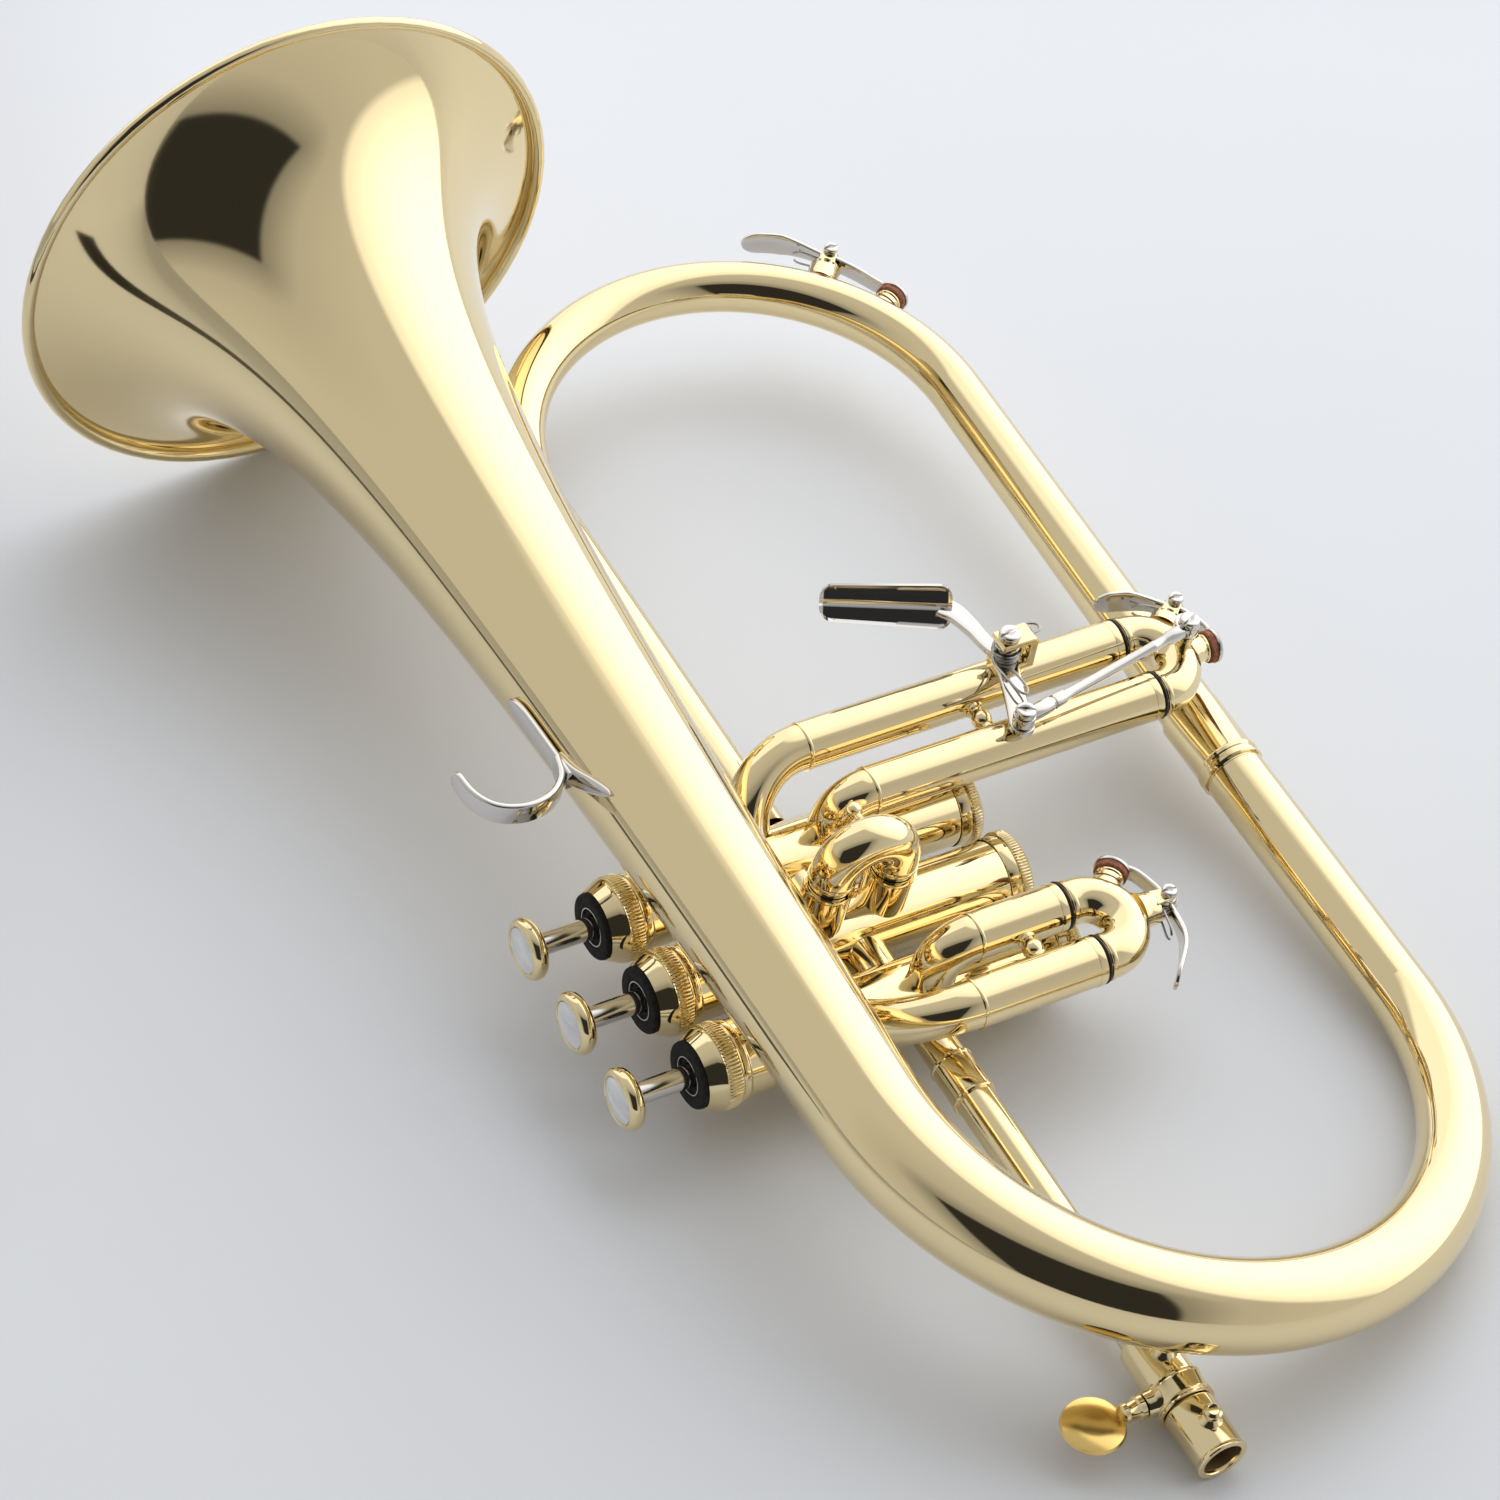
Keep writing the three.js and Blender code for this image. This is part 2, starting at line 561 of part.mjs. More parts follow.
addPart('third_slide_rear_o_ring', oRing(thirdRear.x, thirdFoot), rubber);
addPart('third_slide_front_o_ring', oRing(thirdFront.x, thirdFoot), rubber);
addPart('first_slide_rear_o_ring', oRing(firstRear.x, firstFoot), rubber);
addPart('first_slide_front_o_ring', oRing(firstFront.x, firstFoot), rubber);
addPart('third_key_lever', keyLever(thirdKey), nickel);
addPart('third_key_cork', keyCork(thirdKey), cork);
addPart('first_key_lever', keyLever(firstKey), nickel);
addPart('first_key_cork', keyCork(firstKey), cork);
addPart('front_key_lever', keyLever(frontKey), nickel);
addPart('front_key_cork', keyCork(frontKey), cork);

// A cross brace with a ball in its middle and a flange at each end, between two sleeves.
function slideBrace(rear, front, y) {
  const [low, high] = [rear.x, front.x].sort((a, b) => a - b);
  const inner = SLEEVE_RADIUS + GAP;
  const span = high - low - 2 * inner;
  const profile = [[0, 0], [2.4, 0], [1.4, span * 0.2], [1.6, span * 0.28], [2.8, span / 2],
    [1.6, span * 0.72], [1.4, span * 0.8], [2.4, span], [0, span]];
  return turned(profile, vec(low + inner, y, SIDE_SLIDE_Z), X, 10);
}

addPart('third_slide_brace', slideBrace(thirdRear, thirdFront, -6), brass);
addPart('first_slide_brace', slideBrace(firstRear, firstFront, 20), brass);

// ---- bell and branches ----
const BELL_SIDES = 24;
const bellOutside = (x) => 377 * (258.2 - x) ** -0.57;

function bell() {
  const along = [BACK_BOW_X + GAP, 0, 60, 110, 150, 180, 202, 218, 229, 236, RIM_X - 2];
  const outside = along.map((x) => [bellOutside(x), x]);
  const inside = along.map((x) => [bellOutside(x) - WALL, x]).reverse();
  const lip = [[RIM_RADIUS - 0.6, RIM_X - 2.2], [RIM_RADIUS, RIM_X - 1], [RIM_RADIUS - 0.4, RIM_X],
    [RIM_RADIUS - 2.6, RIM_X - 0.4]];
  const profile = [...outside.slice(0, -1), ...lip, ...inside];
  profile.push(profile[0]);
  return turned(profile, vec(0, BELL_Y, BELL_Z), X, BELL_SIDES);
}

// The back bow is half an ellipse in a plane that leans from the bell down to the lower branch.
const bowRise = (BELL_Y - LOWER_BRANCH_Y) / 2;
const BACK_BOW_REACH = 80;
const backBowMiddle = vec(BACK_BOW_X, (BELL_Y + LOWER_BRANCH_Y) / 2, BELL_Z / 2);
const backBowUp = vec(0, bowRise, BELL_Z / 2);
const backBowPath = new Path(vec(BACK_BOW_X, BELL_Y, BELL_Z), vec(-1, 0, 0))
  .arc(backBowMiddle, backBowUp, vec(-BACK_BOW_REACH, 0, 0), Math.PI, 14);
const BACK_BOW_LENGTH = 254;
const backBowRadius = (s) => THREE.MathUtils.lerp(bellOutside(BACK_BOW_X), 8.2, s / BACK_BOW_LENGTH);

const LOWER_FERRULE = { from: 5, to: 27.6 };
const lowerBranchPath = new Path(vec(BACK_BOW_X + GAP, LOWER_BRANCH_Y, 0), X)
  .ahead(LOWER_FERRULE.from - GAP - BACK_BOW_X - GAP);
const frontBowPath = new Path(vec(LOWER_FERRULE.from + GAP, LOWER_BRANCH_Y, 0), X)
  .to(vec(FRONT_BOW_X, OUTLET_Y - 2 * FRONT_BEND, 0))
  .turn(Y, frontKey.bend, Math.PI, 12)
  .ahead(FRONT_BOW_X - VALVE_PITCH - 9);
const FRONT_BOW_LENGTH = 463;
const frontBowRadius = (s) => THREE.MathUtils.lerp(8, 6.2, s / FRONT_BOW_LENGTH);

addPart('bell', bell(), brass);
addPart('back_bow', pipe(backBowPath, backBowRadius, (s) => backBowRadius(s) - WALL, 16), brass);
addPart('lower_branch', pipe(lowerBranchPath, 8.2, 8.2 - WALL), brass);
addPart('lower_branch_ferrule', ring(vec(LOWER_FERRULE.from + 1, LOWER_BRANCH_Y, 0), X, 9, 8.4,
  LOWER_FERRULE.to - LOWER_FERRULE.from - 1, 16), brass);
const frontSaddle = keySaddle(frontKey);
addPart('front_bow', join(rod(frontBowPath, frontBowRadius), frontSaddle.shape)
  .subtract(rod(frontBowPath, (s) => frontBowRadius(s) - WALL))
  .subtract(frontSaddle.hole)
  .subtract(clearOfCasing(VALVE_PITCH)), brass);

// ---- mouthpipe ----
const RECEIVER = { from: -157, to: -137, radius: 6.9, ring: 7.4 };
const SHANK_END = -172.6;
const BACKWARD = vec(-1, 0, 0);
const onPipe = (x) => vec(x, MOUTHPIPE_Y, 0);

const mouthpipePath = new Path(onPipe(-VALVE_PITCH - 8), BACKWARD)
  .ahead(-RECEIVER.to - VALVE_PITCH - 8 - GAP);
addPart('mouthpipe', pipe(mouthpipePath, PIPE_RADIUS, PIPE_RADIUS - WALL)
  .subtract(clearOfCasing(-VALVE_PITCH)), brass);
addPart('mouthpipe_ferrule', ring(onPipe(-59), X, 5.9, PIPE_RADIUS + GAP, 12, 16), brass);

const LOCK_X = -152;
const receiverTube = turned([[5.8, 0], [RECEIVER.ring, 0], [RECEIVER.ring, 1.5], [RECEIVER.radius, 1.9],
  [RECEIVER.radius, 5.3], [RECEIVER.ring, 5.7], [RECEIVER.ring, 7.2], [RECEIVER.radius, 7.6],
  [RECEIVER.radius, 20], [5.8, 20], [5.8, 0]], onPipe(RECEIVER.from), X, 16);
const lockBoss = disc(vec(LOCK_X, MOUTHPIPE_Y + 6, 0), Y, 3.3, 3.4, 12);
const lockBore = disc(vec(LOCK_X, MOUTHPIPE_Y + 2, 0), Y, 1.9, 10, 12);
addPart('mouthpiece_receiver', join(receiverTube, lockBoss).subtract(lockBore)
  .subtract(rod(new Path(onPipe(RECEIVER.from - 1), X).ahead(30), 5.8)), brass);

// The shank is wide outside the receiver, where it carries a small knob on its side.
const SHANK_BORE = 4.9;
const SHANK_OUT = 15.3;           // length of the wide part, from its open end
const shankProfile = [[SHANK_BORE, 0], [6.6, 0], [6.7, SHANK_OUT], [5.5, SHANK_OUT], [5.5, 35], [SHANK_BORE, 35],
  [SHANK_BORE, 0]];
const shankKnob = turned([[0, 0], [1.9, 0], [1.9, 3.2], [2.3, 4], [1.6, 5.2], [0, 5.2]],
  vec(SHANK_END + 8, MOUTHPIPE_Y, 5), Z, 12);
const shankHollow = rod(new Path(onPipe(SHANK_END - 1), X).ahead(40), SHANK_BORE);
addPart('tuning_shank', join(turned(shankProfile, onPipe(SHANK_END), X, 16), shankKnob.subtract(shankHollow)),
  brass);

// The thumb screw that locks the shank: a threaded neck and a lens shaped head that stands edge on.
function lockScrew() {
  const neck = disc(vec(LOCK_X, MOUTHPIPE_Y + 6.2, 0), Y, 1.6, 13, 12);
  const collar = disc(vec(LOCK_X, MOUTHPIPE_Y + 9.6, 0), Y, 2.9, 6.6, 12);
  const lens = turned([[0, -1.6], [5, -1.3], [8, -0.4], [8, 0.4], [5, 1.3], [0, 1.6]],
    vec(LOCK_X, MOUTHPIPE_Y + 23.2, 0), Z, 16);
  return join(neck, collar, lens);
}
addPart('lock_screw', lockScrew(), brass);

// ---- braces and the finger hook ----
const bellBlankProfile = [[0, BACK_BOW_X - 1],
  ...[BACK_BOW_X - 1, 0, 60, 120].map((x) => [bellOutside(x) + GAP, x]), [0, 120]];
const bellBlank = turned(bellBlankProfile, vec(0, BELL_Y, BELL_Z), X, BELL_SIDES);
const backBowBlank = rod(backBowPath, (s) => backBowRadius(s) + GAP, 16);

// A short post with a flange at each end; the tubes that it joins are cut out of its ends.
function brace(foot, length) {
  return turned([[0, 0], [3.6, 0], [3.6, length * 0.28], [2, length * 0.42], [2, length * 0.58],
    [3.6, length * 0.72], [3.6, length], [0, length]], foot, Z, 10);
}

function bellBrace(x) {
  return brace(vec(x, BELL_Y, 8), 11).subtract(clearOfCasing(x)).subtract(bellBlank);
}
addPart('bell_brace_front', bellBrace(VALVE_PITCH), brass);
addPart('bell_brace_rear', bellBrace(-VALVE_PITCH), brass);
addPart('receiver_brace', brace(vec(-144, MOUTHPIPE_Y, 4), 12)
  .subtract(disc(onPipe(-160), X, RECEIVER.radius + GAP, 30, 16)).subtract(backBowBlank), brass);

const hookPath = [[47.5, 109.6], [42.5, 111.5], [38, 117], [37.2, 124], [40.5, 130.5], [47, 133.8],
  [56, 134]];
const hookBase = [[71, 110.2], [50, 109.2], [30, 108.6]];
const hookStrip = (through, steps) => strip(through, 1.8, BELL_Z - 1.2, BELL_Z + 5.3, steps);
addPart('finger_hook', join(hookStrip(hookPath, 12), hookStrip(hookBase, 2)).subtract(bellBlank), nickel);

// ---- third slide trigger ----
const TRIGGER = { x: 43.8, y: -17.6, hubLow: 27, hubHigh: 33.2 };
const LEVER_LOW = 27;
const LEVER_HIGH = 28.8;
const linkNear = { x: 21.8, y: -9.7 };

// A clevis on the front sleeve, open towards the player, with the pivot screw through both ears.
function triggerBracket() {
  const sleeveTop = SIDE_SLIDE_Z + SLEEVE_RADIUS;
  const { x, y, hubLow, hubHigh } = TRIGGER;
  const ear = (low, high) => box(vec(x - 3.2, y - 7.5, low), vec(x + 3.2, y + 3, high));
  const web = box(vec(x - 3.2, y - 7.5, sleeveTop - 1.5), vec(x + 3.2, y - 5, hubHigh + 2.2));
  const screw = disc(vec(x, y, hubLow - 2), Z, 1.4, hubHigh - hubLow + 4.5, 12);
  const head = disc(vec(x, y, hubHigh + 2), Z, 2.9, 2.2, 14);
  const sleeveLine = new Path(vec(thirdFront.x, -40, SIDE_SLIDE_Z), Y).ahead(60);
  const sleeveBlank = rod(sleeveLine, SLEEVE_RADIUS + GAP);
  return join(web, ear(sleeveTop - 1.5, hubLow - GAP), ear(hubHigh + GAP, hubHigh + 2.2), screw, head)
    .subtract(sleeveBlank);
}

// The saddle is a shallow trough that the finger pulls on.
const SADDLE = { foot: vec(62.8, -13, 29), length: 34, radius: 10, halfAngle: degrees(34), sheet: 1.4 };
const saddleAlong = vec(0.43, 0.9, 0).normalize();
const saddleFace = vec(-0.6, 0.36, 0.72);

function triggerSaddle() {
  const { foot, length, radius, halfAngle, sheet } = SADDLE;
  const outline = new THREE.Shape();
  const [from, to] = [-Math.PI / 2 - halfAngle, -Math.PI / 2 + halfAngle];
  outline.absarc(0, radius, radius, from, to, false);
  outline.absarc(0, radius, radius + sheet, to, from, true);
  const geometry = new THREE.ExtrudeGeometry(outline,
    { depth: length, bevelEnabled: false, curveSegments: 6 });
  const face = saddleFace.clone().addScaledVector(saddleAlong, -saddleFace.dot(saddleAlong)).normalize();
  const across = new THREE.Vector3().crossVectors(face, saddleAlong);
  geometry.applyMatrix4(new THREE.Matrix4().makeBasis(across, face, saddleAlong));
  geometry.translate(foot.x, foot.y, foot.z);
  return solid(geometry);
}

function triggerLever() {
  const { x, y, hubLow, hubHigh } = TRIGGER;
  const swan = [[64.8, -10.2], [61, -13], [55, -14.8], [49, -15.6], [x, y]];
  const curve = new THREE.SplineCurve(swan.map(([px, py]) => new THREE.Vector2(px, py)));
  const widths = [4.6, 2.6];
  const left = [];
  const right = [];
  for (let i = 0; i <= 10; i += 1) {
    const point = curve.getPoint(i / 10);
    const tangent = curve.getTangent(i / 10);
    const half = THREE.MathUtils.lerp(...widths, Math.min(1, i / 6));
    left.push([point.x - tangent.y * half, point.y + tangent.x * half]);
    right.unshift([point.x + tangent.y * half, point.y - tangent.x * half]);
  }
  const neck = plate([...left, ...right], LEVER_LOW, LEVER_HIGH);
  const reach = Math.hypot(x - linkNear.x, y - linkNear.y);
  const arm = new THREE.BoxGeometry(reach, 5.8, LEVER_HIGH - LEVER_LOW);
  arm.rotateZ(Math.atan2(linkNear.y - y, linkNear.x - x));
  arm.translate((x + linkNear.x) / 2, (y + linkNear.y) / 2, (LEVER_LOW + LEVER_HIGH) / 2);
  const hub = disc(vec(x, y, hubLow), Z, 3.4, hubHigh - hubLow, 14);
  const linkEnd = disc(vec(linkNear.x, linkNear.y, LEVER_LOW), Z, 3.2, LEVER_HIGH - LEVER_LOW, 14);
  const linkPin = disc(vec(linkNear.x, linkNear.y, LEVER_HIGH - 0.5), Z, LINK_PIN_RADIUS, 4.8, 10);
  const linkHead = disc(vec(linkNear.x, linkNear.y, LINK_HIGH + GAP), Z, 2.8, 1.8, 14);
  const bore = disc(vec(x, y, hubLow - 1), Z, 1.8, hubHigh - hubLow + 2, 14);
  return join(triggerSaddle(), neck, solid(arm), hub, linkEnd, linkPin, linkHead).subtract(bore);
}

// The link rod: an eye on the lever's pin, and a wide eye that leaves play on the crook's pin.
function linkRod() {
  const low = LINK_LOW;
  const high = LINK_HIGH;
  const play = { x: linkFar.x + LINK_PLAY, y: linkFar.y };
  const far = Math.hypot(linkFar.x - linkNear.x, linkFar.y - linkNear.y);
  const direction = vec(linkFar.x - linkNear.x, linkFar.y - linkNear.y, 0).normalize();
  const start = vec(linkNear.x, linkNear.y, (low + high) / 2);
  const shaftStart = start.clone().addScaledVector(direction, 2.5);
  const shaft = rod(new Path(shaftStart, direction).ahead(far - 5), 1.4, 10);
  const eye = (at, outer) => disc(vec(at.x, at.y, low), Z, outer, high - low, 14);
  const hole = (at, radius) => disc(vec(at.x, at.y, low - 1), Z, radius, high - low + 2, 14);
  return join(shaft, eye(linkNear, 2.9), eye(play, 3.3))
    .subtract(hole(linkNear, LINK_PIN_RADIUS + GAP))
    .subtract(hole(play, LINK_PIN_RADIUS + LINK_PLAY + GAP));
}

addPart('trigger_bracket', triggerBracket(), brass);
addPart('trigger_lever', triggerLever(), nickel);
addPart('trigger_link_rod', linkRod(), nickel);

export default horn;
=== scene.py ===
# Looks of a B flat flugelhorn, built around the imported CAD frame. Sizes are millimetres in the row
# frame (+X towards the bell mouth, +Y towards the finger buttons, +Z up as the horn lies) and are
# turned into metres when a mesh is made.
import json
from math import copysign, cos, exp, hypot, pi, radians, sin, sqrt

import bmesh
import bpy
from mathutils import Matrix, Vector

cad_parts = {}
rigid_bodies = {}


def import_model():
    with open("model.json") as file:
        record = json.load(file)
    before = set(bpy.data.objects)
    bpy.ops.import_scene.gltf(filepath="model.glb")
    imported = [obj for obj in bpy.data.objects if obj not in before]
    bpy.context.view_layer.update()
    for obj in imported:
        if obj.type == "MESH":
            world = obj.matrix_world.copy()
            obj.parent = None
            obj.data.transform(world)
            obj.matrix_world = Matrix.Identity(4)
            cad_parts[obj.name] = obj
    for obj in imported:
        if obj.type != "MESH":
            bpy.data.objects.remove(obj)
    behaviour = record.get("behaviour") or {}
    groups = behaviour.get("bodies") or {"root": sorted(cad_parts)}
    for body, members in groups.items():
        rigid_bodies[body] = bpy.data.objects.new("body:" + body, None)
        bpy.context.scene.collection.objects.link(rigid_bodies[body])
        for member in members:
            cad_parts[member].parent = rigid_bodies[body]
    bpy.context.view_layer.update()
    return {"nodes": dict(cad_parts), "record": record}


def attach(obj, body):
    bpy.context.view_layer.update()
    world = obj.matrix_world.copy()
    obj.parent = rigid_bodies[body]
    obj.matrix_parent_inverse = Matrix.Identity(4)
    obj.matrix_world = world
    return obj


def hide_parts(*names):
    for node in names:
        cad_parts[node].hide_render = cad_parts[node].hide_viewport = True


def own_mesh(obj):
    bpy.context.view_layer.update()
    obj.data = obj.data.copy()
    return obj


MM = 0.001
X = Vector((1, 0, 0))
Y = Vector((0, 1, 0))
Z = Vector((0, 0, 1))
BACK = -X
DOWN = -Z

bpy.ops.object.select_all(action="SELECT")
bpy.ops.object.delete()
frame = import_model()


# ---- materials ----
def material(name):
    made = bpy.data.materials.new(name)
    made.use_nodes = True
    return made, made.node_tree.nodes, made.node_tree.links


def set_inputs(node, values):
    for socket, value in values.items():
        node.inputs[socket].default_value = value


def noise(nodes, links, scale, detail=3.0, stretch=(1, 1, 1)):
    place = nodes.new("ShaderNodeTexCoord")
    mapping = nodes.new("ShaderNodeMapping")
    set_inputs(mapping, {"Scale": stretch})
    texture = nodes.new("ShaderNodeTexNoise")
    set_inputs(texture, {"Scale": scale, "Detail": detail})
    links.new(place.outputs["Object"], mapping.inputs["Vector"])
    links.new(mapping.outputs["Vector"], texture.inputs["Vector"])
    return texture


# Turns a value into a colour. stops are (position, colour), in order.
def ramp(nodes, links, source, stops):
    made = nodes.new("ShaderNodeValToRGB")
    elements = made.color_ramp.elements
    while len(elements) < len(stops):
        elements.new(0.5)
    for element, (position, colour) in zip(elements, stops):
        element.position = position
        element.color = (*colour, 1)
    links.new(source, made.inputs["Fac"])
    return made.outputs["Color"]


# Maps a value from the ends of span to the two levels.
def map_range(nodes, links, source, span, levels):
    made = nodes.new("ShaderNodeMapRange")
    set_inputs(made, {"From Min": span[0], "From Max": span[1], "To Min": levels[0], "To Max": levels[1]})
    links.new(source, made.inputs["Value"])
    return made.outputs["Result"]


def bump(nodes, links, shader, source, strength, distance):
    made = nodes.new("ShaderNodeBump")
    set_inputs(made, {"Strength": strength, "Distance": distance})
    links.new(source, made.inputs["Height"])
    links.new(made.outputs["Normal"], shader.inputs["Normal"])


# A polished metal whose roughness varies a little from place to place, by spread. wave is the
# strength of a slow unevenness in its surface.
def polished_metal(name, colour, roughness, spread, wave=0.0):
    made, nodes, links = material(name)
    shader = nodes["Principled BSDF"]
    set_inputs(shader, {"Base Color": (*colour, 1), "Metallic": 1})
    mottle = noise(nodes, links, 60)
    polish = map_range(nodes, links, mottle.outputs["Fac"], (0, 1), (roughness, roughness + spread))
    links.new(polish, shader.inputs["Roughness"])
    if wave:
        swell = noise(nodes, links, 16, detail=1.0)
        bump(nodes, links, shader, swell.outputs["Fac"], wave, 0.001)
    return made


def lacquered_brass():
    made = polished_metal("lacquered_brass", (0.87, 0.72, 0.415), 0.045, 0.03, wave=0.03)
    set_inputs(made.node_tree.nodes["Principled BSDF"], {"Coat Weight": 0.25, "Coat Roughness": 0.03})
    return made


# Brass that is as bright as the flare near the mouth of the bell and grows dull deeper in the throat.
def throat_brass():
    bright_at = 0.19
    dull_at = 0.11
    made = polished_metal("bell_throat", (0.87, 0.70, 0.40), 0.05, 0.03)
    nodes, links = made.node_tree.nodes, made.node_tree.links
    place = nodes.new("ShaderNodeTexCoord")
    axes = nodes.new("ShaderNodeSeparateXYZ")
    links.new(place.outputs["Object"], axes.inputs["Vector"])
    for socket, bright, dull in (("Roughness", 0.06, 0.5), ("Metallic", 1.0, 0.6)):
        depth = map_range(nodes, links, axes.outputs["X"], (bright_at, dull_at), (bright, dull))
        links.new(depth, nodes["Principled BSDF"].inputs[socket])
    return made


# A dull material whose colour changes in grains between dark and light.
def soft_material(name, dark, light, scale, roughness, relief):
    made, nodes, links = material(name)
    shader = nodes["Principled BSDF"]
    grain = noise(nodes, links, scale, detail=6.0)
    colour = ramp(nodes, links, grain.outputs["Fac"], ((0.35, dark), (0.65, light)))
    links.new(colour, shader.inputs["Base Color"])
    set_inputs(shader, {"Roughness": roughness})
    bump(nodes, links, shader, grain.outputs["Fac"], relief, 0.0003)
    return made


def pearl_material():
    made, nodes, links = material("button_pearl")
    shader = nodes["Principled BSDF"]
    cloud = noise(nodes, links, 110, stretch=(1, 1, 2))
    set_inputs(cloud, {"Distortion": 0.8})
    stops = ((0.3, (0.66, 0.67, 0.69)), (0.7, (0.94, 0.94, 0.93)))
    links.new(ramp(nodes, links, cloud.outputs["Fac"], stops), shader.inputs["Base Color"])
    set_inputs(shader, {"Roughness": 0.22, "Coat Weight": 0.6, "Coat Roughness": 0.05})
    return made


BRASS = lacquered_brass()
GOLD = polished_metal("gold_lacquer", (0.84, 0.59, 0.20), 0.16, 0.05)
# A dull, dark brown metal that paints the shade inside the bore of the tuning shank.
PAINTED_BORE_SHADE = polished_metal("bore_shade_paint", (0.20, 0.13, 0.06), 0.5, 0.1)
BELL_THROAT = throat_brass()
NICKEL = polished_metal("nickel_plate", (0.68, 0.655, 0.62), 0.07, 0.05, wave=0.03)
STEEL = polished_metal("spring_steel", (0.42, 0.41, 0.40), 0.22, 0.08)
FELT = soft_material("black_felt", (0.006, 0.006, 0.006), (0.022, 0.020, 0.019), 900, 0.95, 0.6)
# Black rubber for the O-rings. The same dark material also colours the strip of painted shade by the
# paper's edge.
RUBBER_AND_PAINTED_SHADE = soft_material("black_rubber", (0.008, 0.006, 0.005), (0.018, 0.014, 0.012), 300, 0.45, 0.1)
CORK = soft_material("natural_cork", (0.20, 0.075, 0.04), (0.42, 0.17, 0.09), 1400, 0.9, 0.5)
PEARL = pearl_material()

SLOTS = {
    "lacquered_brass": BRASS,
    "nickel_plate": NICKEL,
    "spring_steel": STEEL,
    "black_felt": FELT,
    "black_rubber": RUBBER_AND_PAINTED_SHADE,
    "natural_cork": CORK,
    "button_pearl": PEARL,
}
slot_of_node = {entry["node"]: entry["material_slot"] for entry in frame["record"]["subparts"]}
for node, thing in frame["nodes"].items():
    thing.data.materials.clear()
    thing.data.materials.append(SLOTS[slot_of_node[node]])


# ---- meshes ----
SHARP = radians(32)


# Turns points in millimetres and faces into an object that rides on body and takes the place of a
# CAD node, with crisp edges where faces meet sharply.
def piece(name, body, finish, points, faces, node=None):
    mesh = bmesh.new()
    made = [mesh.verts.new(Vector(point) * MM) for point in points]
    for face in faces:
        corners = [made[i] for i in face]
        if len(set(corners)) > 2:
            mesh.faces.new(corners)
    bmesh.ops.remove_doubles(mesh, verts=mesh.verts, dist=1e-7)
    bmesh.ops.recalc_face_normals(mesh, faces=mesh.faces)
    for face in mesh.faces:
        face.smooth = True
    for edge in mesh.edges:
        edge.smooth = len(edge.link_faces) == 2 and edge.calc_face_angle(0) < SHARP
    data = bpy.data.meshes.new(name)
    mesh.to_mesh(data)
    mesh.free()
    data.materials.append(finish)
    thing = bpy.data.objects.new(name, data)
    bpy.context.collection.objects.link(thing)
    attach(thing, body)
    if node:
        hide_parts(node)
    return thing


# Two directions square to an axis.
def square_to(axis):
    first = axis.orthogonal().normalized()
    if abs(axis.z) < 0.99:
        first = (Z - axis * axis.dot(Z)).normalized()
    return first, axis.cross(first).normalized()


# Rounds the inner corners of a profile of (radius, height) points.
def eased(profile, size):
    out = [profile[0]]
    for before, corner, after in zip(profile, profile[1:], profile[2:]):
        here = Vector(corner)
        back = Vector(before) - here
        on = Vector(after) - here
        room = min(size, back.length * 0.45, on.length * 0.45)
        if room < 1e-4 or abs(back.normalized().dot(on.normalized())) > 0.98:
            out.append(corner)
            continue
        start = here + back.normalized() * room
        end = here + on.normalized() * room
        out += [tuple(start), tuple((start + end + 2 * here) / 4), tuple(end)]
    out.append(profile[-1])
    return out


RIB_STEPS = 6


# A profile of (radius, height) points turned about an axis that starts at foot. A profile that
# starts off the axis is closed on itself. ribs is (count, depth, low, high): grooves cut along the
# axis between two heights.
def turned(name, body, finish, profile, foot, axis, node=None, ease=0.0, ribs=None, sides=72):
    axis = Vector(axis).normalized()
    foot = Vector(foot)
    first, second = square_to(axis)
    if profile[0][0] > 0:
        profile = [*profile, profile[0]]
    outline = eased(profile, ease) if ease else profile
    if ribs:
        sides = ribs[0] * RIB_STEPS
    points = []
    faces = []
    for radius, height in outline:
        for j in range(sides):
            angle = 2 * pi * j / sides
            reach = radius
            if ribs and ribs[2] <= height <= ribs[3] and radius > 1:
                reach -= ribs[1] * (0.5 - 0.5 * cos(ribs[0] * angle)) ** 1.5
            spoke = first * cos(angle) + second * sin(angle)
            points.append(foot + axis * height + spoke * reach)
    for i in range(len(outline) - 1):
        for j in range(sides):
            k = (j + 1) % sides
            low, high = i * sides, (i + 1) * sides
            faces.append((low + j, low + k, high + k, high + j))
    return piece(name, body, finish, points, faces, node)


# Straight runs and arcs, as a list of (point, heading) stations.
def line(start, heading, length):
    heading = Vector(heading).normalized()
    return [(Vector(start), heading), (Vector(start) + heading * length, heading)]


def ahead(path, length):
    point, heading = path[-1]
    return path + [(point + heading * length, heading)]


def turn(path, towards, radius, angle, steps=24):
    point, heading = path[-1]
    towards = Vector(towards).normalized()
    return arc(path, point + towards * radius, -towards * radius, heading * radius, angle, steps)


def arc(path, centre, start, across, angle, steps=24):
    out = list(path)
    for i in range(1, steps + 1):
        a = angle * i / steps
        point = centre + start * cos(a) + across * sin(a)
        out.append((point, (across * cos(a) - start * sin(a)).normalized()))
    return out


def curve(through, steps=40):
    """A smooth path through points, by Catmull and Rom's rule."""
    knots = [Vector(point) for point in through]
    knots = [2 * knots[0] - knots[1], *knots, 2 * knots[-1] - knots[-2]]
    spans = len(knots) - 3
    stations = []
    for i in range(steps + 1):
        along = min(i / steps * spans, spans - 1e-9)
        k = int(along)
        t = along - k
        a, b, c, d = knots[k:k + 4]
        point = (b * 2 + (c - a) * t + (a * 2 - b * 5 + c * 4 - d) * t * t
                 + (b * 3 - a - c * 3 + d) * t ** 3) / 2
        heading = ((c - a) + (a * 2 - b * 5 + c * 4 - d) * 2 * t + (b * 3 - a - c * 3 + d) * 3 * t * t)
        stations.append((point, heading.normalized()))
    return stations


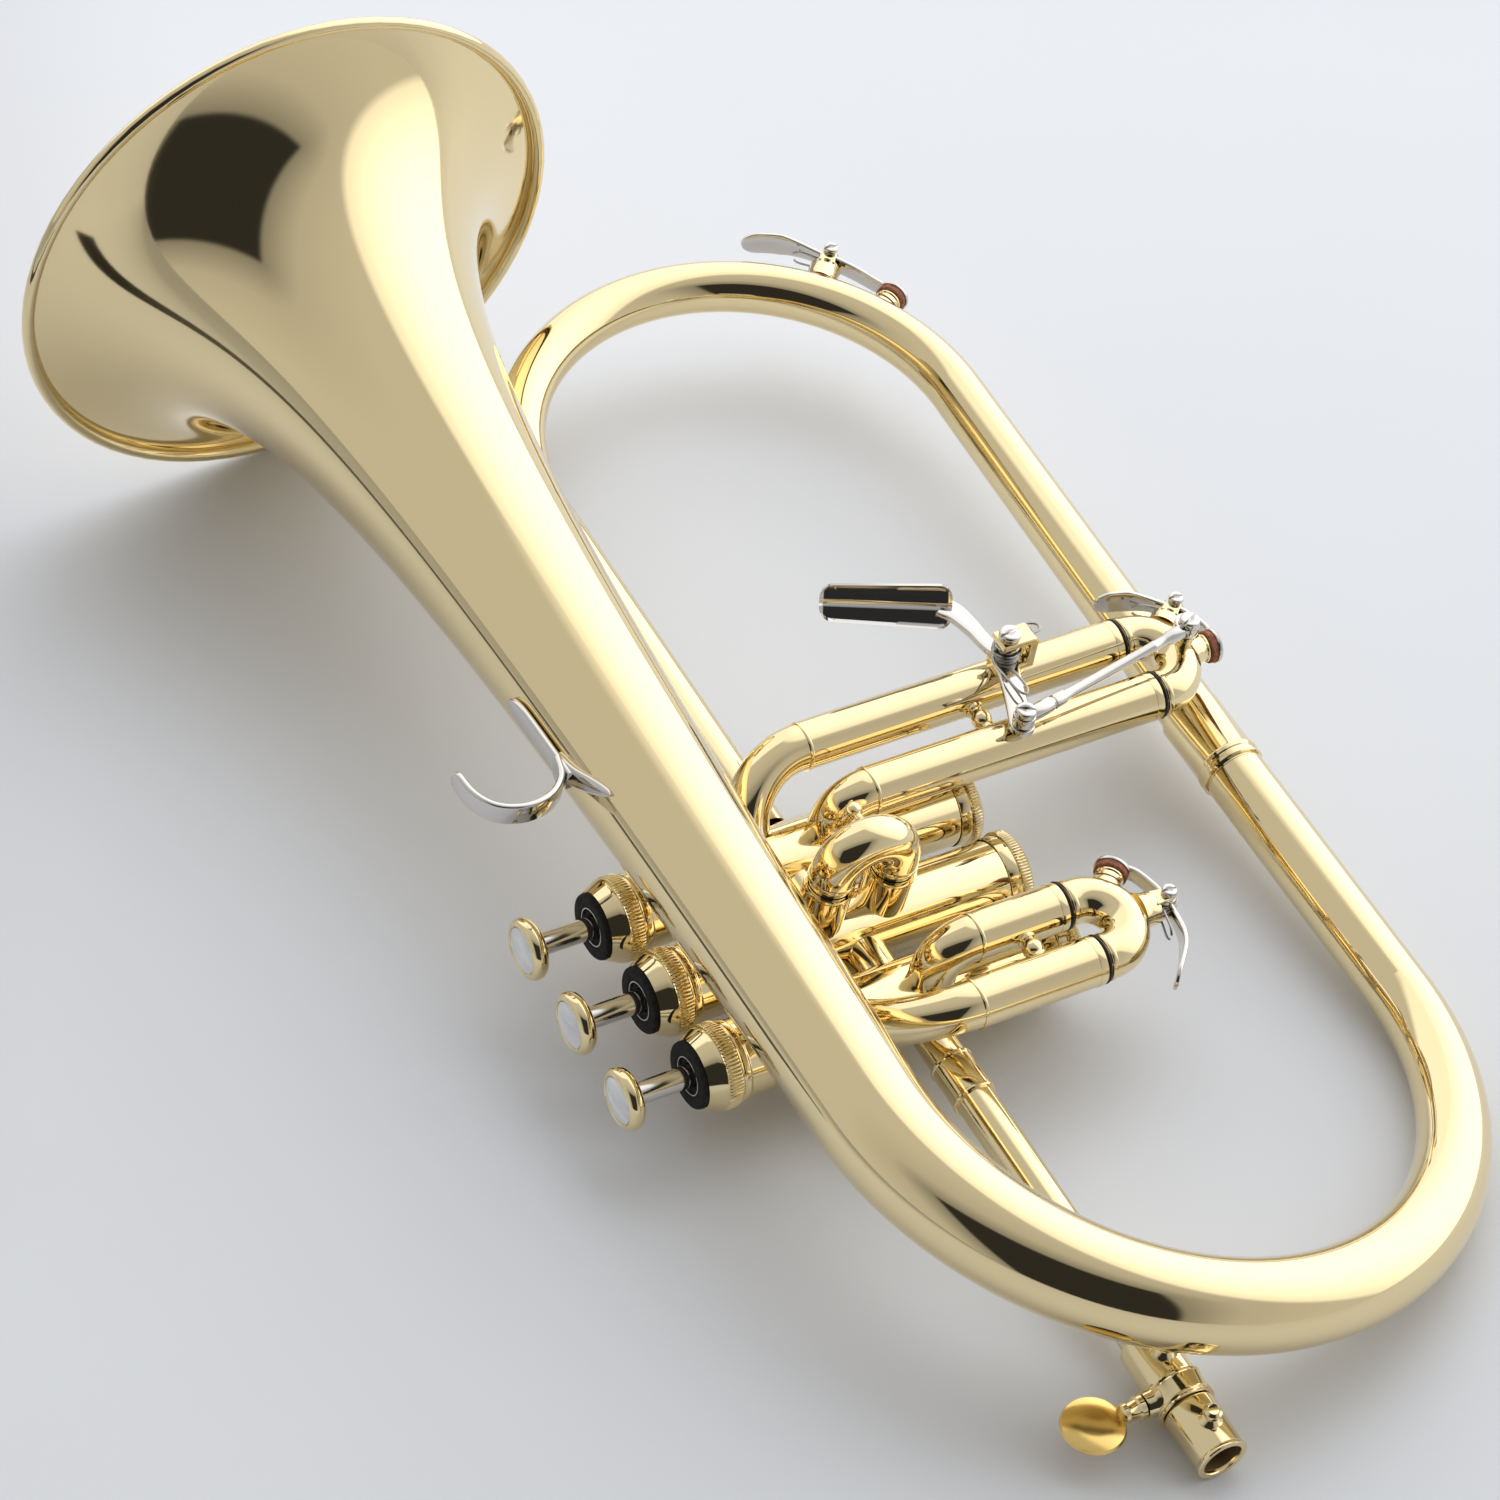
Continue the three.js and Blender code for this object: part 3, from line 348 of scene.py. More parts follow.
# Rings of points along a path. outline(share) gives the section as (normal, side) offsets, where
# share is the part of the path's length that is behind.
def rings_along(path, outline, normal=None):
    length = sum((b[0] - a[0]).length for a, b in zip(path, path[1:]))
    normal = Vector(normal) if normal else square_to(path[0][1])[0]
    travelled = 0.0
    rings = []
    for i, (point, heading) in enumerate(path):
        if i:
            travelled += (point - path[i - 1][0]).length
        normal = (normal - heading * normal.dot(heading)).normalized()
        side = heading.cross(normal)
        rings.append([point + normal * a + side * b for a, b in outline(travelled / length)])
    return rings


# A size that is a number or already a function of the share travelled, as a function.
def by_share(size):
    return size if callable(size) else (lambda share: size)


def circle(radius, sides):
    return [(radius * cos(2 * pi * j / sides), radius * sin(2 * pi * j / sides)) for j in range(sides)]


def round_rings(path, radius, sides):
    return rings_along(path, lambda share: circle(by_share(radius)(share), sides))


# The skin over a row of rings: closed joins the last ring to the first, and open ends get a face.
def skin(rings, closed):
    count = len(rings[0])
    points = [point for ring in rings for point in ring]
    faces = []
    last = len(rings) if closed else len(rings) - 1
    for i in range(last):
        k = (i + 1) % len(rings)
        for j in range(count):
            m = (j + 1) % count
            faces.append((i * count + j, i * count + m, k * count + m, k * count + j))
    if not closed:
        faces.append(tuple(range(count)))
        faces.append(tuple((len(rings) - 1) * count + j for j in range(count)))
    return points, faces


# A round tube along a path. Its radii may vary with the share travelled.
def tube(name, body, finish, path, outer, inner, node=None, sides=48):
    rings = round_rings(path, outer, sides) + round_rings(path, inner, sides)[::-1]
    return piece(name, body, finish, *skin(rings, True), node)


def wire(name, body, path, radius, node=None):
    return piece(name, body, STEEL, *skin(round_rings(path, radius, 10), False), node)


# A flat nickelled strip with rounded edges along a path. width and thickness may vary with the
# share travelled; the thickness lies along normal.
def strip(name, body, path, width, thickness, normal, node=None):
    def section(share):
        half = by_share(width)(share) / 2
        thick = by_share(thickness)(share) / 2
        ease = min(thick, half) * 0.7
        corners = [(thick - ease, half - ease), (ease - thick, half - ease),
                   (ease - thick, ease - half), (thick - ease, ease - half)]
        out = []
        for k, (a, b) in enumerate(corners):
            for step in range(4):
                angle = pi / 2 * (k + step / 3)
                out.append((a + ease * cos(angle), b + ease * sin(angle)))
        return out

    return piece(name, body, NICKEL, *skin(rings_along(path, section, normal), False), node)


# The width of a strip whose far end is rounded off over tip, for a spatula or a tongue.
def rounded_width(width, tip, length):
    def at(share):
        ease = min(1.0, (1 - share) * length / tip)
        return width * max(0.02, sqrt(1 - (1 - ease) ** 2))
    return at


def disc(name, body, finish, foot, axis, radius, height, ease=0.25, inner=0.0):
    if inner:
        profile = [(inner, 0), (radius, 0), (radius, height), (inner, height)]
    else:
        profile = [(0, 0), (radius, 0), (radius, height), (0, height)]
    return turned(name, body, finish, profile, foot, axis, ease=ease, sides=48)


# A ring with a round section, such as a wired edge or an O-ring. squash flattens it along axis.
def bead(name, body, finish, centre, axis, radius, size, squash=1.0):
    profile = []
    for k in range(12):
        angle = 2 * pi * k / 12
        profile.append((radius + size * cos(angle), size * squash * sin(angle)))
    return turned(name, body, finish, profile, centre, axis)


def bevel(thing, width, segments=3):
    edge = thing.modifiers.new("ease", "BEVEL")
    edge.width = width * MM
    edge.segments = segments
    edge.limit_method = "ANGLE"
    edge.angle_limit = radians(35)


# A brass plate: a flat outline of (across, up) points, as deep as half each way along the normal of
# those two directions, about origin. ease is the width of its bevels.
def plate(name, body, outline, origin, across, up, low, high, node=None, ease=0.3):
    through = across.cross(up)
    rings = []
    for depth in (low, high):
        rings.append([origin + across * a + up * b + through * depth for a, b in outline])
    bevel(piece(name, body, BRASS, *skin(rings, False), node), ease)


# A slotted screw head that stands on foot and faces axis; slot_angle turns its slot.
def screw_head(name, body, foot, axis, radius, height, slot_angle):
    profile = [(0, 0), (radius, 0), (radius, height * 0.75), (radius * 0.85, height), (0, height)]
    head = turned(name, body, NICKEL, profile, foot, axis, ease=0.25, sides=48)
    first, second = square_to(axis)
    along = first * cos(slot_angle) + second * sin(slot_angle)
    side = axis.cross(along)
    centre = foot + axis * height
    reach = radius * 1.2
    half = 0.28
    depth = 0.7
    corners = [(-reach, -half), (reach, -half), (reach, half), (-reach, half)]
    top = [centre + along * a + side * b + axis for a, b in corners]
    low = [centre + along * a + side * b - axis * depth for a, b in corners]
    cutter = piece(name + "_slot", body, NICKEL, *skin([low, top], False))
    cut = head.modifiers.new("slot", "BOOLEAN")
    cut.object = cutter
    cut.solver = "EXACT"
    bpy.context.view_layer.update()
    graph = bpy.context.evaluated_depsgraph_get()
    shape = bpy.data.meshes.new_from_object(head.evaluated_get(graph))
    head.modifiers.clear()
    head.data = shape
    bpy.data.objects.remove(cutter)


# ---- valves ----
VALVE_NAMES = ("first", "second", "third")
VALVE_PITCH = 25
CASING_RADIUS = 10
CASING_FOOT = 2.4
CASING_TOP = 103.3
CASING_BORE = 8.8
CAP_RADIUS = 11.1
TOP_CAP_FOOT = 98.5
FELT_FOOT = 106.2
PISTON_FOOT = 36.4
PISTON_TOP = 93
STEM_RADIUS = 2.9
BUTTON_FOOT = 123
WALL = 0.8
BOW_RADIUS = 5.9
BOW_BORE = 4.7
SLEEVE_RADIUS = 6.3
SLEEVE_BORE = 5.5
LEG_RADIUS = 5.3


def valve_casing(name, x):
    profile = [(CASING_BORE, CASING_FOOT), (CASING_RADIUS, CASING_FOOT), (CASING_RADIUS, 95.6),
               (10.5, 96.0), (10.5, 97.6), (CASING_RADIUS, 98.0), (CASING_RADIUS, CASING_TOP),
               (CASING_BORE, CASING_TOP)]
    node = f"{name}_valve_casing"
    turned(f"{name}_casing", "horn", BRASS, profile, (x, 0, 0), Y, node, ease=0.25, sides=96)


def bottom_cap(name, x):
    profile = [(0, 0), (7.2, 0), (7.6, 0.5), (9.4, 0.5), (10.4, 0.7), (CAP_RADIUS, 1.3),
               (CAP_RADIUS, 1.6), (CAP_RADIUS, 3.4), (10.8, 3.8), (10.4, 3.9), (10.4, 6.7), (10.3, 6.9),
               (10.15, 7.0), (10.15, 2.2), (0, 2.2)]
    turned(f"{name}_bottom_cap_knurled", "horn", BRASS, profile, (x, 0, 0), Y, f"{name}_bottom_cap",
           ribs=(84, 0.26, 1.2, 3.5))


def top_cap(name, x):
    profile = [(10.15, 0), (10.9, 0), (CAP_RADIUS, 0.3), (CAP_RADIUS, 3.4), (10.85, 3.7), (11.0, 4.0),
               (10.95, 4.3), (10.5, 5.3), (9.8, 6.7), (9.1, 8.1), (8.95, 8.4), (8.8, 8.4), (8.75, 7.6),
               (3.6, 7.6), (3.6, 5.4), (10.15, 5.4)]
    turned(f"{name}_top_cap_knurled", "horn", BRASS, profile, (x, TOP_CAP_FOOT, 0), Y, f"{name}_top_cap",
           ribs=(72, 0.3, 0.2, 3.5))


# The black felt in the top cap, its metal liner, and the washer round the stem.
def cap_felt(name, x):
    foot = (x, FELT_FOOT, 0)
    profile = [(5.1, 0), (8.6, 0), (8.6, 1.7), (8.2, 2.1), (5.5, 2.1), (5.1, 1.8)]
    turned(f"{name}_felt", "horn", FELT, profile, foot, Y, f"{name}_cap_felt", ease=0.2)
    liner = [(4.75, 0), (5.1, 0), (5.1, 1.9), (4.75, 1.9)]
    turned(f"{name}_felt_liner", "horn", NICKEL, liner, foot, Y, ease=0.1)
    washer = [(3.1, 0), (4.7, 0), (4.7, 1.1), (3.1, 1.1)]
    turned(f"{name}_stem_washer", "horn", FELT, washer, foot, Y, ease=0.2)


def piston(name, x):
    body = f"{name}_valve"
    barrel = [(0, PISTON_FOOT), (8.6, PISTON_FOOT), (8.6, PISTON_TOP), (STEM_RADIUS, PISTON_TOP),
              (STEM_RADIUS, PISTON_TOP + 1), (0, PISTON_TOP + 1)]
    turned(f"{name}_piston_barrel", body, NICKEL, barrel, (x, 0, 0), Y, f"{name}_piston", ease=0.3)
    low = PISTON_TOP + 0.5
    high = BUTTON_FOOT - 0.3
    stem = [(0, low), (STEM_RADIUS, low), (STEM_RADIUS, high), (0, high)]
    turned(f"{name}_piston_stem", body, NICKEL, stem, (x, 0, 0), Y, sides=48)


# The compression spring between the bottom cap and the piston.
def valve_spring(name, x):
    radius = 6.6
    foot = 3.6
    height = 31.4
    turns = 7
    turn_steps = 24
    steps = turns * turn_steps
    rise = height / (turns * 2 * pi)
    path = []
    for i in range(steps + 1):
        angle = 2 * pi * i / turn_steps
        point = Vector((x + radius * cos(angle), foot + height * i / steps, radius * sin(angle)))
        heading = Vector((-radius * sin(angle), rise, radius * cos(angle))).normalized()
        path.append((point, heading))
    spring = wire(f"{name}_spring", "horn", path, 0.45, f"{name}_valve_spring")
    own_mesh(spring)


def finger_button(name, x):
    body = f"{name}_valve"
    foot = (x, BUTTON_FOOT, 0)
    rim = [(0, 0), (5.2, 0), (6.6, 0.2), (7.5, 0.8), (8.0, 1.6), (8.15, 2.5), (8.0, 3.4), (7.5, 4.15),
           (6.9, 4.5), (6.4, 4.55), (6.15, 4.3), (6.15, 3.2), (0, 3.2)]
    turned(f"{name}_button_rim", body, BRASS, rim, foot, Y, f"{name}_finger_button", sides=96)
    shell = [(0, 3.5), (6.0, 3.5), (6.0, 4.3), (5.6, 4.5), (4.3, 4.78), (2.4, 4.95), (0, 5.0)]
    turned(f"{name}_pearl", body, PEARL, shell, foot, Y, f"{name}_button_pearl", sides=96)


for valve, name in enumerate(VALVE_NAMES):
    place = (valve - 1) * VALVE_PITCH
    valve_casing(name, place)
    bottom_cap(name, place)
    top_cap(name, place)
    cap_felt(name, place)
    piston(name, place)
    valve_spring(name, place)
    finger_button(name, place)


# Moves the points of a piece that lie within radius of a line along Y, at (x, z), out to that radius.
def clear_of_bore(thing, x, z, radius):
    for vertex in thing.data.vertices:
        out = Vector((vertex.co.x / MM - x, 0, vertex.co.z / MM - z))
        if out.length < radius:
            vertex.co += out.normalized() * (radius - out.length) * MM


MIDDLE_OF_WALL = CASING_RADIUS - 0.6


# A short tube that passes the air from one casing to the next.
def knuckle(name, x, y, length):
    path = line((x, y, 0), X, length)
    made = tube(name, "horn", BRASS, path, BOW_RADIUS, BOW_BORE)
    for casing in (-VALVE_PITCH, 0, VALVE_PITCH):
        clear_of_bore(made, casing, 0, MIDDLE_OF_WALL)


knuckle("first_knuckle", -17, 49.5, 9)
knuckle("second_knuckle", 8, 53, 9)

# ---- slides ----
SIDE_Z = 19
THIRD_FOOT = -52
FIRST_FOOT = 7.5
THIRD_REAR = (24, THIRD_FOOT, 33)
THIRD_FRONT = (43.5, THIRD_FOOT, 41.5)
FIRST_FRONT = (-26.8, FIRST_FOOT, 32.7)
FIRST_REAR = (-45, FIRST_FOOT, 42.7)


# A thin raised band around a tube, rounded over at both edges.
def ring_line(name, body, point, axis, radius, width, lift):
    half = width / 2
    profile = [(radius - 0.4, -half), (radius + lift * 0.6, -half), (radius + lift, -half * 0.4),
               (radius + lift, half * 0.4), (radius + lift * 0.6, half), (radius - 0.4, half)]
    turned(name, body, BRASS, profile, point, axis)


# A fixed sleeve of the first or third slide, with the elbow that turns from it to its casing.
def side_sleeve(name, sleeve, towards, bend, angle):
    x, foot, seam = sleeve
    straight = line((x, foot, SIDE_Z), Y, seam - foot)
    node = name.replace("_", "_slide_") + "_sleeve"
    tube(f"{name}_sleeve", "horn", BRASS, straight, SLEEVE_RADIUS, SLEEVE_BORE, node, sides=64)
    ring_line(f"{name}_foot_band", "horn", (x, foot + 1.1, SIDE_Z), Y, SLEEVE_RADIUS, 1.9, 0.12)
    ring_line(f"{name}_seam_band", "horn", (x, seam - 0.5, SIDE_Z), Y, SLEEVE_RADIUS, 0.9, 0.16)
    elbow = turn(line((x, seam - 1, SIDE_Z), Y, 1.0), towards, bend, radians(angle), 32)
    swell = lambda share: BOW_RADIUS + 0.25 * exp(-share * 9)
    made = tube(f"{name}_elbow", "horn", BRASS, ahead(elbow, 2.2), swell, BOW_BORE, sides=64)
    clear_of_bore(made, copysign(VALVE_PITCH, x), 0, MIDDLE_OF_WALL)


# The front sleeve of the third slide and the rear one of the first swing over a tube that enters
# the same casing from the side.
side_sleeve("third_rear", THIRD_REAR, DOWN, 9, 90)
side_sleeve("third_front", THIRD_FRONT, (-18.5, 0, -19), 20, 80)
side_sleeve("first_front", FIRST_FRONT, DOWN, 9, 90)
side_sleeve("first_rear", FIRST_REAR, (20, 0, -19), 20, 80)


# The bow of a slide with its inner legs. start is the mouth of the first leg's sleeve, side points
# from there to the second leg, and out points from the sleeves to the bow. leg is the length inside
# a sleeve and neck is the straight length before the bow.
def crook(name, start, side, width, out, leg, neck):
    for k, offset in enumerate((0, width)):
        inner = line(start + side * offset - out * leg, out, leg + 2)
        tube(f"{name}_leg_{k}", name, BRASS, inner, LEG_RADIUS, BOW_BORE)
        band = start + side * offset + out * 2.2
        ring_line(f"{name}_leg_band_{k}", name, band, out, BOW_RADIUS, 1.2, 0.22)
    seat = 1.4
    bow = line(start + out * seat, out, neck - seat)
    bow = ahead(turn(bow, side, width / 2, pi, 48), neck - seat)
    tube(f"{name}_bow", name, BRASS, bow, BOW_RADIUS, BOW_BORE, f"{name}_crook", sides=64)


THIRD_BOW_Y = -54.9
FIRST_BOW_Y = 3.5
GAP = 0.3
crook("third_slide", Vector((THIRD_REAR[0], THIRD_FOOT - GAP, SIDE_Z)), X, 19.5, -Y, 34,
      THIRD_FOOT - GAP - THIRD_BOW_Y)
crook("first_slide", Vector((FIRST_REAR[0], FIRST_FOOT - GAP, SIDE_Z)), X, 18.2, -Y, 22,
      FIRST_FOOT - GAP - FIRST_BOW_Y)

for name, (x, foot, seam) in (("third_rear", THIRD_REAR), ("third_front", THIRD_FRONT),
                              ("first_rear", FIRST_REAR), ("first_front", FIRST_FRONT)):
    slide = name.split("_")[0] + "_slide"
    ring = bead(f"{name}_o_ring_round", slide, RUBBER_AND_PAINTED_SHADE, (x, foot - 0.75, SIDE_Z), Y, 5.9, 0.5, 0.9)
    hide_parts(name.replace("_", "_slide_") + "_o_ring")

# The second slide leans a little towards the bottom caps.
SECOND_Y = 41.6
SECOND_WIDTH = 18.3
SECOND_SEAM = 19.7
SECOND_LEAN = 0.105
second_out = Vector((0, -SECOND_LEAN, 1)).normalized()
second_side = Vector((0, 1, SECOND_LEAN)).normalized()


# Shapes the end of a sleeve that starts at foot to the wall of the second casing.
def seat_on_casing(sleeve, foot):
    for vertex in sleeve.data.vertices:
        place = vertex.co / MM
        if place.dot(second_out) < foot.dot(second_out) + 0.5:
            rise = sqrt(MIDDLE_OF_WALL ** 2 - place.x ** 2) - place.z
            vertex.co += second_out * (rise / second_out.z) * MM


second_foot = Vector((0, SECOND_Y, 0))
for k, offset in enumerate((0, SECOND_WIDTH)):
    foot = second_foot + second_side * offset
    start = 8.2 - k * 2.5
    path = line(foot + second_out * start, second_out, SECOND_SEAM - start)
    sleeve = tube(f"second_sleeve_{k}", "horn", BRASS, path, SLEEVE_RADIUS, SLEEVE_BORE, sides=64)
    seat_on_casing(sleeve, path[0][0])
    band = foot + second_out * (SECOND_SEAM - 0.7)
    ring_line(f"second_sleeve_band_{k}", "horn", band, second_out, SLEEVE_RADIUS, 1.2, 0.15)
crook("second_slide", second_foot + second_out * (SECOND_SEAM + GAP), second_side, SECOND_WIDTH,
      second_out, 8, 3.6)


# The second half of a profile that is the same from both of its ends.
def mirrored(half, length):
    return half + [(radius, length - height) for radius, height in half[::-1][1:]]


# A cross brace with a ball in its middle and a flange at each end, between two sleeves.
def slide_brace(name, low, high, y, node):
    inner = SLEEVE_RADIUS - 0.6
    span = high - low - 2 * inner
    middle = span / 2
    profile = [(0, 0), (2.6, 0), (2.5, 0.9), (1.35, 1.5), (1.25, middle - 3.0), (1.9, middle - 2.8),
               (1.9, middle - 2.4), (1.4, middle - 2.2)]
    ball = [(2.75 * sin(a), middle - 2.75 * cos(a)) for a in (0.7, 1.0, 1.3, pi / 2)]
    turned(name, "horn", BRASS, mirrored(profile + ball, span), (low + inner, y, SIDE_Z), X, node,
           sides=48)


slide_brace("third_brace", THIRD_REAR[0], THIRD_FRONT[0], -6.6, "third_slide_brace")
slide_brace("first_brace", FIRST_REAR[0], FIRST_FRONT[0], 20, "first_slide_brace")

# ---- bell, bows and branches ----
BELL_Y = 89.8
BELL_Z = 33
RIM_X = 241.6
RIM_RADIUS = 76.2
THROAT_X = 195
BACK_BOW_X = -71
BACK_BOW_REACH = 80
BRANCH_RADIUS = 8.2
LOWER_Y = -70.5
FRONT_BOW_X = 154
FRONT_BEND = 63.2
OUTLET_Y = 53


def bell_outside(x):
    return 377 * (258.2 - x) ** -0.57


def bell():
    last = RIM_X - 1.1
    rings = 90
    ends = [BACK_BOW_X + (last - BACK_BOW_X) * (1 - (1 - k / rings) ** 1.8) for k in range(rings + 1)]
    outside = [(bell_outside(x), x) for x in ends]
    inside = [(radius - WALL, x) for radius, x in outside[::-1]]
    foot = (0, BELL_Y, BELL_Z)
    flare = turned("bell_flare", "horn", BRASS, outside + inside, foot, X, "bell", sides=144)
    flare.data.materials.append(BELL_THROAT)
    for face in flare.data.polygons:
        place = face.center / MM
        reach = hypot(place.y - BELL_Y, place.z - BELL_Z)
        if reach < bell_outside(place.x) - WALL / 2 and place.x < THROAT_X:
            face.material_index = 1
    inset = 1.75
    bead("bell_rim_wire", "horn", BRASS, (RIM_X - inset, BELL_Y, BELL_Z), X, RIM_RADIUS - inset, 1.7)


# The bow behind the bell narrows from the bell's tail to the lower branch.
def back_bow():
    rise = (BELL_Y - LOWER_Y) / 2
    middle = Vector((BACK_BOW_X, (BELL_Y + LOWER_Y) / 2, BELL_Z / 2))
    start = [(Vector((BACK_BOW_X, BELL_Y, BELL_Z)), BACK)]
    path = arc(start, middle, Vector((0, rise, BELL_Z / 2)), BACK * BACK_BOW_REACH, pi, 96)
    outer = lambda share: bell_outside(BACK_BOW_X) * (1 - share) + BRANCH_RADIUS * share
    inner = lambda share: outer(share) - WALL
    tube("back_bow_tube", "horn", BRASS, path, outer, inner, "back_bow", sides=72)


def lower_branch():
    path = line((BACK_BOW_X, LOWER_Y, 0), X, 76)
    inner = BRANCH_RADIUS - WALL
    tube("lower_branch_tube", "horn", BRASS, path, BRANCH_RADIUS, inner, "lower_branch", sides=64)
    ferrule = [(8.0, 0), (8.6, 0), (8.8, 0.3), (8.8, 1.2), (8.5, 1.5), (8.5, 2.2), (8.8, 2.5), (8.8, 3.4),
               (8.6, 3.7), (8.45, 4.0), (8.45, 21.3), (8.0, 21.6)]
    foot = (6, LOWER_Y, 0)
    turned("lower_branch_ferrule_ringed", "horn", BRASS, ferrule, foot, X, "lower_branch_ferrule")


# The front bow narrows from the lower branch to the third casing.
def front_bow():
    path = [(Vector((5.3, LOWER_Y, 0)), X), (Vector((FRONT_BOW_X, OUTLET_Y - 2 * FRONT_BEND, 0)), X)]
    path = ahead(turn(path, Y, FRONT_BEND, pi, 96), FRONT_BOW_X - VALVE_PITCH - MIDDLE_OF_WALL)
    outer = lambda share: 7.95 - 1.8 * share
    inner = lambda share: 7.2 - 1.8 * share
    tube("front_bow_tube", "horn", BRASS, path, outer, inner, "front_bow", sides=64)


bell()
back_bow()
lower_branch()
front_bow()

# ---- mouthpipe ----
PIPE_Y = 46.5
PIPE_RADIUS = 5.1
RECEIVER_END = -157
SHANK_END = -172.6
LOCK_X = -152


def mouthpipe():
    path = line((-34.6, PIPE_Y, 0), BACK, 102.4)
    tube("mouthpipe_tube", "horn", BRASS, path, PIPE_RADIUS, PIPE_RADIUS - WALL, "mouthpipe", sides=64)
    ferrule = [(5.0, 0), (5.7, 0), (5.9, 0.3), (5.9, 0.9), (5.65, 1.2), (5.65, 10.8), (5.9, 11.1),
               (5.9, 11.7), (5.7, 12), (5.0, 12)]
    turned("mouthpipe_ferrule_ringed", "horn", BRASS, ferrule, (-59, PIPE_Y, 0), X, "mouthpipe_ferrule")


def receiver():
    profile = [(5.75, 0), (7.1, 0)]
    ring = ((7.3, 0.1), (7.4, 0.4), (7.25, 0.75), (7.0, 0.85), (7.25, 0.95), (7.4, 1.3), (7.3, 1.65),
            (6.85, 1.8))
    for foot in (0.0, 5.5):
        profile += [(radius, foot + height) for radius, height in ring]
    profile += [(6.8, 8.0), (6.8, 18.4), (6.5, 19.6), (5.4, 20), (5.2, 20), (5.2, 14), (5.75, 14)]
    turned("receiver", "horn", BRASS, profile, (RECEIVER_END, PIPE_Y, 0), X, "mouthpiece_receiver")
    boss = [(1.8, 0), (4.4, 0), (3.7, 0.9), (3.3, 1.5), (3.25, 3.0), (3.0, 3.4), (1.8, 3.45)]
    turned("lock_boss", "horn", BRASS, boss, (LOCK_X, PIPE_Y + 5.9, 0), Y)


def tuning_shank():
    body = "tuning_tube"
    end = (SHANK_END, PIPE_Y, 0)
    profile = [(4.9, 0.5), (5.1, 0.1), (5.6, 0), (6.35, 0.05), (6.6, 0.3), (6.6, 1.0), (6.35, 1.4),
               (6.4, 7), (6.65, 14.6), (6.5, 15.2), (5.45, 15.3), (5.45, 35), (4.9, 35)]
    turned("tuning_shank_tube", body, BRASS, profile, end, X, "tuning_shank")
    # A dark lining inside the shank's bore, as painted shade.
    bore = [(4.92, 1.0), (4.92, 34), (4.8, 34), (4.8, 1.2)]
    turned("tuning_shank_bore_shade", body, PAINTED_BORE_SHADE, bore, end, X)
    nub = [(0, 0), (2.9, 0.9), (2.2, 1.5), (1.7, 2.1), (1.75, 2.5), (2.25, 3.0), (2.4, 3.6), (2.2, 4.3),
           (1.5, 4.9), (1.3, 4.7), (0, 4.75)]
    turned("tuning_shank_nub", body, BRASS, nub, (SHANK_END + 8, PIPE_Y, 5.3), Z, sides=48)


def lock_screw():
    body = "lock_screw"
    neck = [(0, 0), (1.6, 0), (1.6, 3.2), (2.9, 3.25), (3.2, 3.5), (3.1, 4.8), (2.6, 5.2), (2.4, 7.4),
            (2.6, 7.8), (2.5, 8.8), (1.6, 9.5), (0, 9.7)]
    turned("lock_screw_neck", body, BRASS, neck, (LOCK_X, PIPE_Y + 6.4, 0), Y, "lock_screw", sides=48)
    lens = [(0, -1.75), (3.5, -1.7), (6.2, -1.35), (7.6, -0.8), (8.0, 0), (7.6, 0.8), (6.2, 1.35),
            (3.5, 1.7), (0, 1.75)]
    turned("lock_screw_head", body, GOLD, lens, (LOCK_X, PIPE_Y + 23.2, 0), Z)


# A post with a ball in its middle and a flange at each end.
def post(node, foot, length, waist, flange):
    profile = [(0, 0), (flange, 0), (flange * 0.95, 0.9), (waist * 1.15, 2.0), (waist, length * 0.32)]
    size = waist * 1.55
    ball = [(size * sin(a), length / 2 - size * cos(a)) for a in (0.75, 1.05, 1.3, 1.571)]
    turned(f"{node}_post", "horn", BRASS, mirrored(profile + ball, length), foot, Z, node, sides=48)


# The second slide's pull knob, on the top of its bow.
def pull_knob():
    top = (second_foot + second_out * (SECOND_SEAM + 3.9 + SECOND_WIDTH / 2)
           + second_side * (SECOND_WIDTH / 2))
    profile = [(0, 0), (2.1, 0.2), (1.9, 0.8), (1.05, 1.6), (1.0, 2.8), (1.5, 3.3)]
    profile += [(2.25 * sin(a), 4.75 - 2.25 * cos(a)) for a in (0.9, 1.2, 1.6, 2.0, 2.4, 2.8, pi)]
    turned("second_slide_knob", "second_slide", BRASS, profile, top + X * (BOW_RADIUS - 0.7), X, sides=48)


mouthpipe()
receiver()
tuning_shank()
lock_screw()
post("bell_brace_front", (VALVE_PITCH, BELL_Y, 9.4), 10.2, 1.9, 4.4)
post("bell_brace_rear", (-VALVE_PITCH, BELL_Y, 9.4), 10.2, 1.9, 4.4)
post("receiver_brace", (-144, PIPE_Y, 5.6), 8.0, 1.6, 3.4)
pull_knob()

# ---- finger hook ----
HOOK_Z = 35.05
HOOK_PATH = ((50, 108.9), (44.5, 110.6), (40.2, 115.6), (39.0, 122.5), (41.6, 129.2), (47.4, 133.0),
             (56, 134))
HOOK_BASE = ((44, 108.4), (52, 108.8), (62, 109.2), (73, 109.9))


def finger_hook():
    loop = curve([(x, y, HOOK_Z) for x, y in HOOK_PATH], 64)
    normal = Z.cross(loop[0][1])
    strip("finger_hook_loop", "horn", loop, rounded_width(6.4, 2.6, 48), 1.7, normal, "finger_hook")
    base = curve([(x, y, HOOK_Z) for x, y in HOOK_BASE])
    strip("finger_hook_base", "horn", base, rounded_width(6.0, 7.0, 29), 1.8, Y)
    heel = curve([(51, 108.5, 35.2), (44, 107.9, 36.8), (37.5, 106.4, 39.4), (31, 104.4, 42.0)])
    strip("finger_hook_heel", "horn", heel, rounded_width(4.6, 14.0, 21), 1.6, (0, 0.9, 0.34))


finger_hook()

